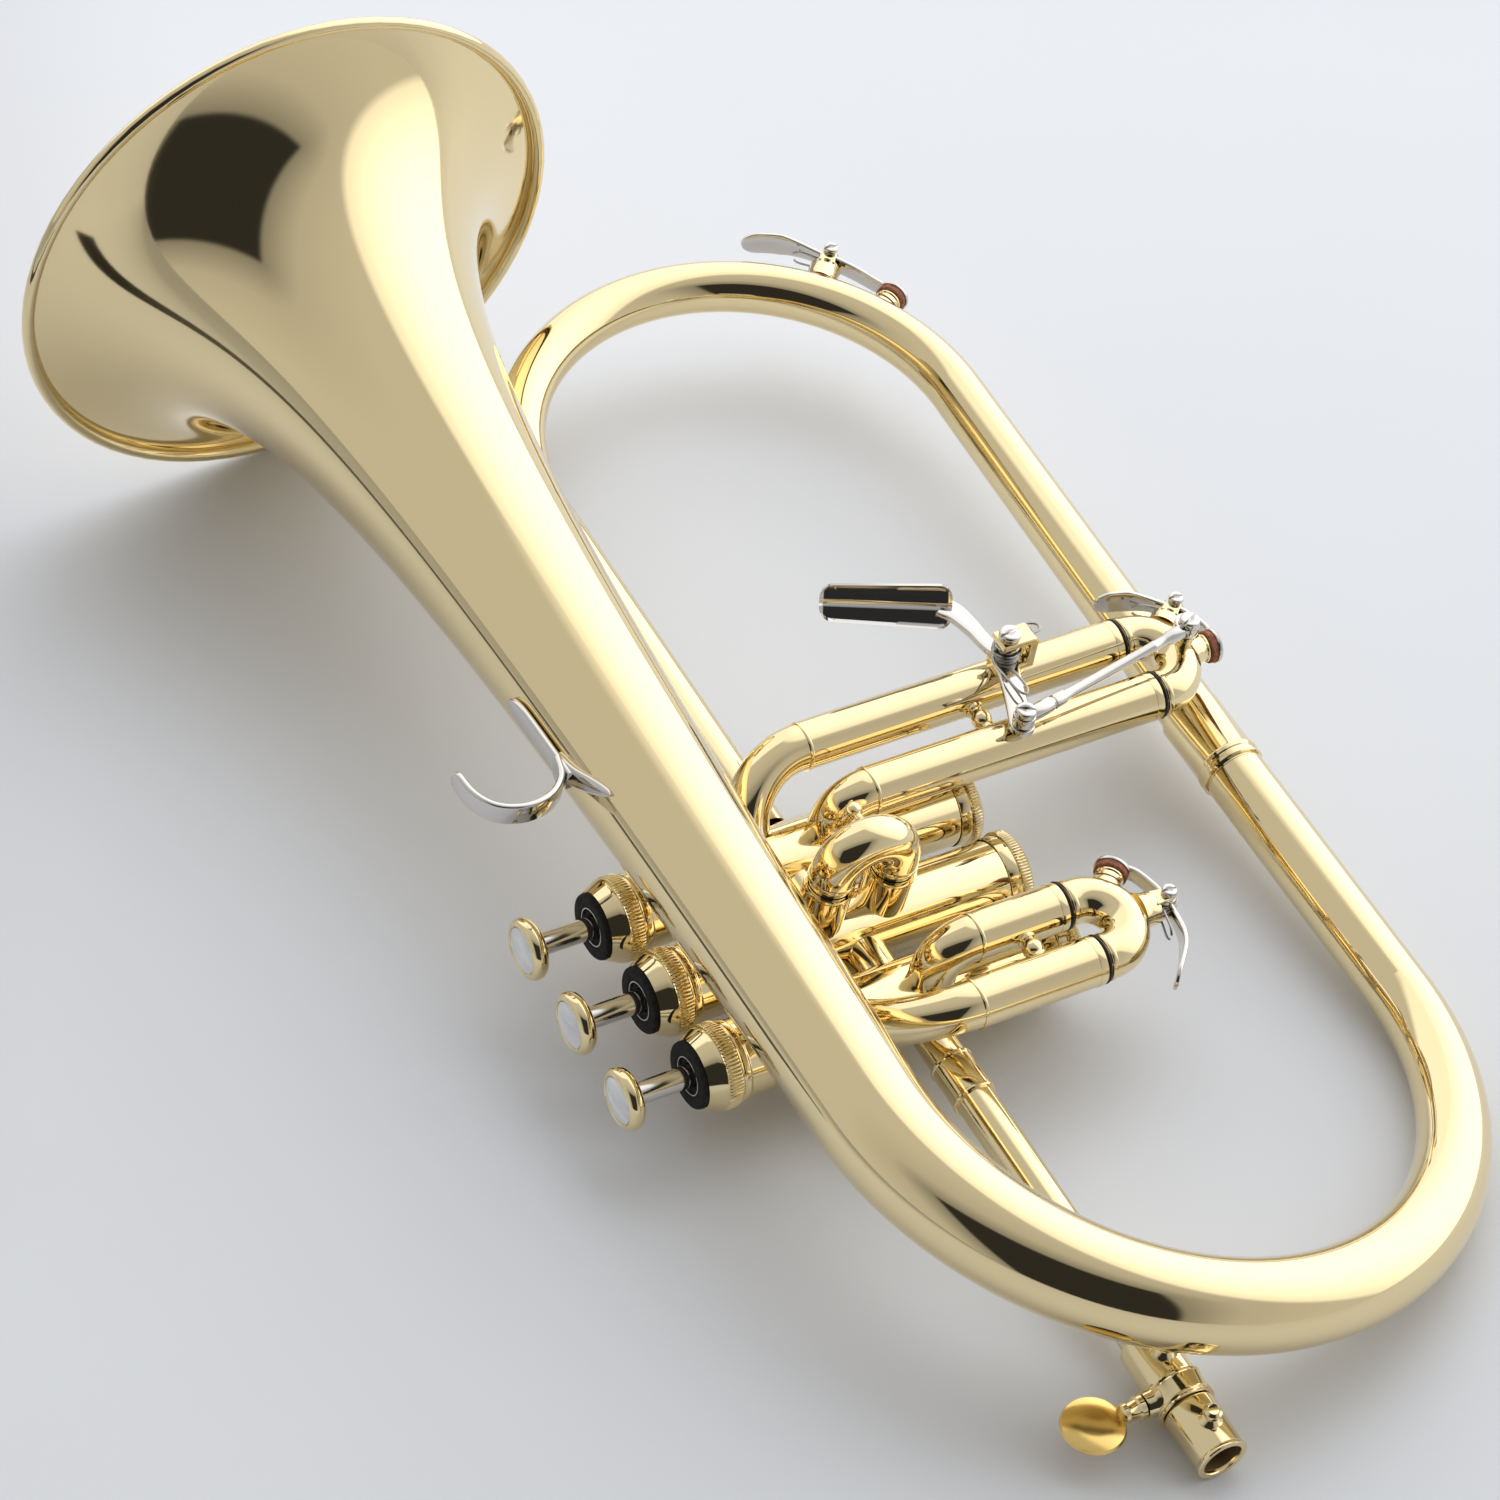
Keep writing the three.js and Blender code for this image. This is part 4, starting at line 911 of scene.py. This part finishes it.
# ---- third slide trigger ----
PIVOT = Vector((43.8, -17.6, 0))
LEVER_Z = 27.9
LINK_NEAR = Vector((21.8, -9.7, 0))
LINK_FAR = Vector((32.4, -65.6, 0))
LINK_Z = 30.8
LINK_TOP = 32.3


def trigger_bracket():
    low = -7.5
    nose = 3.2
    outline = [(low, 24.6), (nose, 24.6), (nose, 26.7), (-4.6, 26.7), (-5.2, 27.3), (-5.2, 32.9),
               (-4.6, 33.5), (nose, 33.5), (nose, 35.3), (-6.3, 35.3), (low, 34.1)]
    plate("trigger_clevis", "horn", outline, PIVOT, Y, Z, -3.2, 3.2, "trigger_bracket", ease=0.7)
    foot = disc("trigger_clevis_foot", "horn", BRASS, PIVOT + Z * 22.6 - Y * 2, Z, 4.4, 2.2, ease=0.6)
    clear_of_bore(foot, THIRD_FRONT[0], SIDE_Z, SLEEVE_BORE + 0.6)
    disc("trigger_pivot_pin", "horn", NICKEL, PIVOT + Z * 25, Z, 1.4, 11)
    screw_head("trigger_pivot_screw", "horn", PIVOT + Z * 35.3, Z, 2.9, 2.0, 0.9)


# The curved sheet that the thumb pulls, with a crease along its middle and a rolled lip.
def trigger_saddle():
    foot = Vector((62.8, -13, 29))
    along = Vector((0.49, 0.86, -0.09)).normalized()
    face = Vector((-0.66, 0.43, 0.615))
    face = (face - along * face.dot(along)).normalized()
    across = face.cross(along)
    length = 34.0
    radius = 23.0
    sheet = 1.5
    corner = 3.6
    spread = radians(14.5)
    crease_depth = 0.35
    lip_height = 0.65
    steps = 60
    side_steps = 24
    rings = []
    for i in range(steps + 1):
        travelled = length * (0.5 - 0.5 * cos(pi * i / steps))
        inset = min(travelled, length - travelled)
        ease = corner - sqrt(max(0, corner ** 2 - max(0, corner - inset) ** 2))
        half = spread * (1 - 0.2 * travelled / length) - ease / radius
        ring = []
        for side, reach in ((1, radius), (-1, radius + sheet)):
            for k in range(side_steps + 1):
                share = 2 * k / side_steps - 1
                angle = side * half * share
                crease = crease_depth * exp(-(angle / 0.025) ** 2)
                rolled = max(0.0, abs(share) - 0.84) / 0.16
                lip = lip_height * max(rolled, 1 - min(1.0, inset / 1.1))
                if side > 0:
                    height = radius - reach * cos(angle) - crease + lip
                else:
                    height = radius - (reach - crease) * cos(angle) + lip
                ring.append(foot + along * travelled + across * (reach * sin(angle)) + face * height)
        rings.append(ring)
    saddle = piece("trigger_saddle", "trigger_lever", NICKEL, *skin(rings, False), "trigger_lever")
    bevel(saddle, 0.6, 4)


def trigger_lever():
    body = "trigger_lever"
    swan = [(64.6, -11.4), (61.2, -13.4), (55, -14.8), (49, -15.6), PIVOT.xy]
    neck = curve([(x, y, LEVER_Z) for x, y in swan], 60)
    strip("trigger_neck", body, neck, lambda share: 6.8 - 2.2 * min(1, share * 1.8), 1.7, Z)
    reach = LINK_NEAR - PIVOT
    steps = 30
    arm = [(PIVOT + Z * LEVER_Z + reach * k / steps, reach.normalized()) for k in range(steps + 1)]
    strip("trigger_arm", body, arm, lambda share: 6.8 - 1.2 * sin(pi * share), 1.7, Z)
    disc("trigger_arm_end", body, NICKEL, LINK_NEAR + Z * 27, Z, 3.2, 1.8)
    disc("trigger_link_pin", body, NICKEL, LINK_NEAR + Z * 28.4, Z, 1.0, 4.8)
    screw_head("trigger_link_screw", body, LINK_NEAR + Z * (LINK_TOP + 0.3), Z, 2.7, 1.8, 0.3)
    hub = [(1.7, 0), (3.3, 0), (3.4, 0.3), (3.4, 1.9), (2.9, 2.3), (2.9, 5.4), (3.3, 5.7), (3.3, 6.0),
           (3.1, 6.2), (1.7, 6.2)]
    turned("trigger_hub", body, NICKEL, hub, PIVOT + Z * 27, Z, sides=48)


# A wire that coils about an axis and leaves along two legs. start points to the coil's first end.
def torsion_wire(name, body, centre, radius, thickness, height, start, legs):
    coils = 3
    coil_steps = 16
    second = Z.cross(start)
    coil = []
    for k in range(coils * coil_steps + 1):
        angle = 2 * pi * k / coil_steps
        spoke = start * radius * cos(angle) + second * radius * sin(angle)
        coil.append(centre + spoke + Z * height * k / (coils * coil_steps))
    points = legs[0] + coil + legs[1]
    wire(name, body, curve(points, len(points) * 6), thickness)


def trigger_spring():
    near = ((-7, 2.4, 31.2), (-13.2, 1.9, 31), (-15.2, 3.2, 31), (-13.2, 4.6, 31), (-7, 5.0, 30.6),
            (-2.4, 4.6, 29.6))
    far = ((3.6, -2, 31.9), (4.8, -8, 32), (3.6, -11, 32), (1.6, -10.5, 32), (1.2, -7.5, 32))
    legs = [[PIVOT + Vector(point) for point in leg] for leg in (near, far)]
    torsion_wire("trigger_wire_spring", "horn", PIVOT + Z * 29.2, 3.5, 0.35, 2.6, Y, legs)


def link_rod():
    body = "link_rod"
    reach = LINK_FAR - LINK_NEAR
    length = reach.length
    shaft = [(0, 2.2), (1.9, 2.2), (2.1, 3.4), (2.1, 8.6), (1.9, 9.0), (1.55, 9.2), (1.55, 9.8),
             (1.9, 10.0), (1.9, 13.2), (1.5, 14.0), (1.35, 16), (1.35, length - 13),
             (1.45, length - 12.6), (1.45, length - 11.8), (1.35, length - 11.4), (1.4, length - 8),
             (1.9, length - 6.4), (1.9, length - 2.6), (0, length - 2.6)]
    start = LINK_NEAR + Z * LINK_Z
    turned("link_shaft", body, NICKEL, shaft, start, reach, "trigger_link_rod", sides=40)
    far = LINK_FAR + X * 0.7
    disc("link_near_eye", body, NICKEL, LINK_NEAR + Z * 29.3, Z, 2.9, 3.0, inner=1.3, ease=0.35)
    disc("link_far_eye", body, NICKEL, far + Z * 29.3, Z, 3.3, 3.0, inner=2.0, ease=0.35)


def link_post():
    body = "third_slide"
    profile = [(0, 0), (3.0, 0), (2.7, 0.8), (2.1, 1.6), (2.1, 4.0), (2.5, 4.6), (2.5, 5.6), (2.2, 5.9),
               (0, 5.9)]
    turned("link_post", body, BRASS, profile, LINK_FAR + Z * 23.2, Z, sides=48)
    disc("link_post_pin", body, NICKEL, LINK_FAR + Z * 28.8, Z, 1.0, 4.2)
    screw_head("link_post_screw", body, LINK_FAR + Z * (LINK_TOP + 0.3), Z, 2.7, 1.8, 1.2)


trigger_bracket()
trigger_saddle()
trigger_lever()
link_rod()
link_post()
trigger_spring()

# ---- water keys ----
HUB_HALF = 2.6
KEY_BORE = 1.1
EAR_FOOT = HUB_HALF + 0.3
EAR_END = EAR_FOOT + 1.3
PAD_LIFT = 3.2


def radial(angle):
    return Vector((cos(radians(angle)), sin(radians(angle)), 0))


# The ears, saddle foot and pivot pin of a key, soldered to the outside of a bow.
def key_seat(name, bow, pivot, out, height):
    nose = [(1.95 * cos(pi * k / 10), 1.95 * sin(pi * k / 10)) for k in range(11)]
    ear = [(-2.4, -4.6), (2.4, -4.6), (2.1, -2.6), *nose, (-2.1, -2.6)]
    tangent = Z.cross(out)
    plate(f"{name}_ear_0", bow, ear, pivot, tangent, out, -EAR_END, -EAR_FOOT)
    plate(f"{name}_ear_1", bow, ear, pivot, tangent, out, EAR_FOOT, EAR_END)
    low = -height - 1.2
    pedestal = [(0, low), (5.1, low), (4.7, low + 1.2), (4.5, low + 2.0), (4.4, -3.9), (4.1, -3.4),
                (0, -3.4)]
    turned(f"{name}_saddle_foot", bow, BRASS, pedestal, pivot, out)
    disc(f"{name}_pivot_pin", bow, NICKEL, pivot - Z * (EAR_END + 0.5), Z, 0.95, 2 * EAR_END + 0.8)
    screw_head(f"{name}_pivot_screw", bow, pivot + Z * EAR_END, Z, 2.0, 1.4, 0.7)


# The nipple on the bow, and the cork that closes it in the cup of the lever. Gives the cup's foot.
def key_pad(name, bow, foot, out):
    nipple = [(0, -2.0), (4.3, -2.0), (4.1, -0.2), (3.6, 0.5), (3.45, PAD_LIFT - 0.9),
              (3.75, PAD_LIFT - 0.6), (3.75, PAD_LIFT - 0.2), (3.5, PAD_LIFT), (0, PAD_LIFT)]
    turned(f"{name}_nipple", bow, BRASS, nipple, foot, out, sides=48)
    cork = [(0, 0), (4.0, 0), (4.3, 0.3), (4.3, 1.7), (0, 1.8)]
    cork_foot = foot + out * (PAD_LIFT + 0.3)
    turned(f"{name}_cork_pad", name, CORK, cork, cork_foot, out, f"{name}_cork", sides=48)
    cup = [(4.35, -0.35), (4.6, -0.35), (4.7, -0.1), (4.7, 0.4), (4.4, 0.85), (3.2, 1.15), (0, 1.25),
           (0, 0.05), (4.35, 0.05)]
    cup_foot = cork_foot + out * 2.1
    turned(f"{name}_cup", name, NICKEL, cup, cup_foot, out, sides=64)
    return cup_foot


# The lever: an arm that leaves the cup level and then bends to the pivot, a leaf for the finger
# through the points of touch, and a hub.
def key_lever(name, pivot, out, top, pad_out, touch):
    level = (pivot - top - pad_out * (pivot - top).dot(pad_out)).normalized()
    knee = top + level * 5.4 + pad_out * 0.2
    arm = curve([top - level * 1.6, top, knee, knee.lerp(pivot, 0.5) + out * 0.5, pivot])
    normal = Z.cross(arm[0][1])
    strip(f"{name}_arm", name, arm, lambda share: 4.2 + share, 1.35, normal, f"{name}_lever")
    reach = curve([top.lerp(pivot, 0.8), pivot, *touch], 48)[10:]
    length = sum((b[0] - a[0]).length for a, b in zip(reach, reach[1:]))
    spatula = rounded_width(1.0, 5.0, length)
    leaf = lambda share: (3.8 + 3.4 * min(1, share * 1.7) ** 2) * spatula(share)
    strip(f"{name}_touch", name, reach, leaf, lambda share: 1.5 - 0.5 * share, Z.cross(reach[0][1]))
    hub = [(KEY_BORE, -HUB_HALF), (2.1, -HUB_HALF), (2.1, HUB_HALF), (KEY_BORE, HUB_HALF)]
    turned(f"{name}_hub", name, NICKEL, hub, pivot, Z, ease=0.3, sides=48)


# A wire loop under the leaf, whose two ends coil about the pivot.
def key_spring(name, bow, pivot, under, along):
    side = Z * 2.1
    loop = pivot + along * 8 + under * 2.6
    near = [loop - Z * 1.5 + along * 1.5, loop - side, pivot + along * 3.5 + under * 2.2 - side]
    far = [pivot + along * 3.5 + under * 2.4 + side, loop + side, loop + along * 2.0 + Z * 0.6]
    torsion_wire(f"{name}_wire_spring", bow, pivot - side, 2.6, 0.3, 4.2, under, (near, far))


# A water key on a bow that bends about centre at radius bend. Its pivot stands at pivot_angle,
# pivot_height above the tube, and its pad at pad_angle. Angles are in degrees from +X.
def water_key(name, bow, centre, bend, tube_radius, pivot_angle, pivot_height, pad_angle, touch):
    centre = Vector(centre)
    surface = bend + tube_radius
    out = radial(pivot_angle)
    pivot = centre + out * (surface + pivot_height)
    pad_out = radial(pad_angle)
    points = [Vector((x, y, centre.z)) for x, y in touch]
    key_seat(name, bow, pivot, out, pivot_height)
    cup_foot = key_pad(name, bow, centre + pad_out * surface, pad_out)
    key_lever(name, pivot, out, cup_foot + pad_out * 0.6, pad_out, points)
    key_spring(name, bow, pivot, -out, (points[0] - pivot).normalized())


water_key("third_key", "third_slide", (33.75, THIRD_BOW_Y, SIDE_Z), 9.75, BOW_RADIUS, -53, 7, -92,
          ((54.4, -64.5), (57.3, -54.5)))
water_key("first_key", "first_slide", (-35.9, FIRST_BOW_Y, SIDE_Z), 9.1, BOW_RADIUS, -91, 7, -47,
          ((-48.5, -16.2), (-60, -6.6)))
water_key("front_key", "horn", (FRONT_BOW_X, OUTLET_Y - FRONT_BEND, 0), FRONT_BEND, 7.1, -44, 9.5, -59.5,
          ((221.5, -57), (226.8, -46)))


# ---- stage ----
CAMERA_PLACE = Vector((-0.65155, 0.59257, 0.99580))
CAMERA_FORWARD = Vector((0.53087, -0.40947, -0.74196)).normalized()
CAMERA_UP = Vector((0.69796, -0.28531, 0.65685))
CAMERA_LENS = 126.55

right = CAMERA_FORWARD.cross(CAMERA_UP).normalized()
upward = right.cross(CAMERA_FORWARD)


# The plane that the horn rests on, as a point and a normal: the face of the CAD's convex hull that
# lies under the middle of its surface.
def rest_plane():
    hull = bmesh.new()
    total = Vector()
    weight = 0.0
    for thing in frame["nodes"].values():
        for vertex in thing.data.vertices:
            hull.verts.new(vertex.co)
        for face in thing.data.polygons:
            total += face.center * face.area
            weight += face.area
    middle = total / weight
    bmesh.ops.convex_hull(hull, input=hull.verts)
    best = None
    for face in hull.faces:
        if face.normal.z > -0.5:
            continue
        corners = [Vector((v.co.x, v.co.y)) for v in face.verts]
        edges = zip(corners, corners[1:] + corners[:1])
        turns = [(b - a).cross(middle.xy - a) for a, b in edges]
        if all(t <= 0 for t in turns) or all(t >= 0 for t in turns):
            best = (face.calc_center_median().copy(), -face.normal.copy())
    hull.free()
    return best


# White paper whose colour carries painted shade: it is darker towards the far left and the near end of
# the camera's view, where less light falls.
def floor_material():
    made, nodes, links = material("pale_floor")
    shader = nodes["Principled BSDF"]
    set_inputs(shader, {"Roughness": 0.7, "Specular IOR Level": 0.08})
    grain = noise(nodes, links, 3)
    stops = ((0.3, (0.79, 0.80, 0.82)), (0.7, (0.82, 0.83, 0.85)))
    tint = ramp(nodes, links, grain.outputs["Fac"], stops)
    place = nodes.new("ShaderNodeNewGeometry")

    def painted_shade_fall_off(direction, span, levels):
        """Painted shade: a slow change of the colour along a direction, between the two places of span,
        in metres.
        """
        along = nodes.new("ShaderNodeVectorMath")
        along.operation = "DOT_PRODUCT"
        along.inputs[1].default_value = direction
        links.new(place.outputs["Position"], along.inputs[0])
        return map_range(nodes, links, along.outputs["Value"], span, levels)

    # Painted shade towards the far left and the near end, and a little painted light towards the far end.
    left_painted_shade = painted_shade_fall_off(right, (-0.60, -0.24), (0.58, 1.0))
    near_painted_shade = painted_shade_fall_off(upward, (-0.22, 0.24), (0.87, 1.04))
    both = nodes.new("ShaderNodeMath")
    both.operation = "MULTIPLY"
    links.new(left_painted_shade, both.inputs[0])
    links.new(near_painted_shade, both.inputs[1])
    shaded = nodes.new("ShaderNodeVectorMath")
    shaded.operation = "SCALE"
    links.new(tint, shaded.inputs[0])
    links.new(both.outputs["Value"], shaded.inputs["Scale"])
    links.new(shaded.outputs["Vector"], shader.inputs["Base Color"])
    return made


rest_point, rest_normal = rest_plane()
bpy.ops.mesh.primitive_plane_add(size=6)
floor = bpy.context.object
floor.name = "floor"
floor.rotation_mode = "QUATERNION"
floor.rotation_quaternion = rest_normal.to_track_quat("Z", "Y")
floor.location = rest_point - rest_normal * 0.0002
floor.data.materials.append(floor_material())


# A dark strip that paints the shade in the gap between the edge of the white paper and the wall of the
# tent. It lies outside the camera's view, and the bell mirrors it as a thin dark line.
def paper_edge_shade():
    ends = [Vector((20, 262, 0)) * MM, Vector((460, 482, 0)) * MM]
    for end in ends:
        end.z = rest_point.z - (end - rest_point).xy.dot(rest_normal.xy) / rest_normal.z + 1 * MM
    half = Vector((-0.447, 0.894, 0)) * 22 * MM
    corners = [end + half * side for end in ends for side in (-1, 1)]
    mesh = bpy.data.meshes.new("paper_edge_shade")
    mesh.from_pydata(corners, [], [(0, 1, 3, 2)])
    # The black rubber material gives the strip the colour of its painted shade.
    mesh.materials.append(RUBBER_AND_PAINTED_SHADE)
    shade_strip = bpy.data.objects.new("paper_edge_shade", mesh)
    bpy.context.collection.objects.link(shade_strip)
    shade_strip.visible_camera = False
    shade_strip.visible_shadow = False
    shade_strip.visible_diffuse = False


paper_edge_shade()

# ---- camera ----
camera_data = bpy.data.cameras.new("camera")
camera_data.lens = CAMERA_LENS
camera_data.sensor_width = 36
camera_data.clip_start = 0.05
camera = bpy.data.objects.new("camera", camera_data)
bpy.context.collection.objects.link(camera)
facing = Matrix((right, upward, -CAMERA_FORWARD)).transposed().to_4x4()
camera.matrix_world = Matrix.Translation(CAMERA_PLACE) @ facing
bpy.context.scene.camera = camera


# ---- light ----
# A white tent round the horn. Directions are given as shares of (right, up, back) of the camera: a
# bright wall stands to the right and beyond the horn, the ceiling is dimmer, and the tent is open
# towards the camera, where the room behind it is dark.
FAR_RIGHT_WALL = (0.657, 0.689, -0.306)
FAR_LEFT_WALL = (-0.25, 0.93, -0.28)
OPENING_ACROSS = radians(2)
OPENING_LEFT_RIGHT = radians(29)
OPENING_MIDDLE = radians(-20)
OPENING_UP_DOWN = radians(26)


def tent():
    world = bpy.data.worlds.new("tent")
    bpy.context.scene.world = world
    world.use_nodes = True
    nodes, links = world.node_tree.nodes, world.node_tree.links
    sky = nodes["Background"]
    place = nodes.new("ShaderNodeTexCoord")

    def dot(direction):
        made = nodes.new("ShaderNodeVectorMath")
        made.operation = "DOT_PRODUCT"
        a, b, c = direction
        made.inputs[1].default_value = right * a + upward * b - CAMERA_FORWARD * c
        links.new(place.outputs["Generated"], made.inputs[0])
        return made.outputs["Value"]

    def calc(operation, *values):
        made = nodes.new("ShaderNodeMath")
        made.operation = operation
        for socket, value in zip(made.inputs, values):
            if isinstance(value, (int, float)):
                socket.default_value = value
            else:
                links.new(value, socket)
        return made.outputs["Value"]

    def steps(value, stops):
        return ramp(nodes, links, value, [(position, (level,) * 3) for position, level in stops])

    def off_middle(direction, middle, half):
        """How far outside the opening a ray points, in radians, on the side that direction gives."""
        angle = calc("SUBTRACT", calc("ARCTAN2", dot(direction), back), middle)
        return calc("MAXIMUM", calc("SUBTRACT", calc("ABSOLUTE", angle), half), 0.0)

    def brighter(first, second):
        made = nodes.new("ShaderNodeMix")
        made.data_type = "RGBA"
        made.blend_type = "LIGHTEN"
        set_inputs(made, {"Factor": 1})
        colours = [socket for socket in made.inputs if socket.type == "RGBA"]
        links.new(first, colours[0])
        links.new(second, colours[1])
        return next(socket for socket in made.outputs if socket.type == "RGBA")

    back = dot((0, 0, 1))
    beside = off_middle((1, 0, 0), OPENING_ACROSS, OPENING_LEFT_RIGHT)
    above = off_middle((0, 1, 0), OPENING_MIDDLE, OPENING_UP_DOWN)
    away = calc("SQRT", calc("ADD", calc("MULTIPLY", beside, beside), calc("MULTIPLY", above, above)))
    ceiling = steps(away, ((0.0, 0.03), (0.015, 0.06), (0.05, 0.28), (0.32, 0.53), (0.75, 0.62)))
    right_wall = steps(dot(FAR_RIGHT_WALL), ((0.44, 0.0), (0.56, 1.15), (0.75, 1.5), (0.98, 2.0)))
    left_wall = steps(dot(FAR_LEFT_WALL), ((0.68, 0.0), (0.80, 1.25)))
    links.new(brighter(brighter(ceiling, right_wall), left_wall), sky.inputs["Color"])
    set_inputs(sky, {"Strength": 1.0})


# A wide, dim and cool lamp over the horn, which no metal mirrors.
def wall_glow():
    lamp = bpy.data.lights.new("wall_glow", "AREA")
    lamp.shape = "RECTANGLE"
    lamp.size = 0.9
    lamp.size_y = 0.6
    lamp.energy = 2.4
    lamp.color = (0.80, 0.87, 1.0)
    thing = bpy.data.objects.new("wall_glow", lamp)
    bpy.context.collection.objects.link(thing)
    middle = Vector((0.03, 0.03, 0.0))
    target = middle + upward * 0.1
    thing.location = middle + right * 0.15 + upward * 0.95 - CAMERA_FORWARD * 0.4
    thing.rotation_mode = "QUATERNION"
    thing.rotation_quaternion = (target - thing.location).to_track_quat("-Z", "Y")
    thing.visible_glossy = False


tent()
wall_glow()
bpy.context.scene.view_settings.view_transform = "Standard"
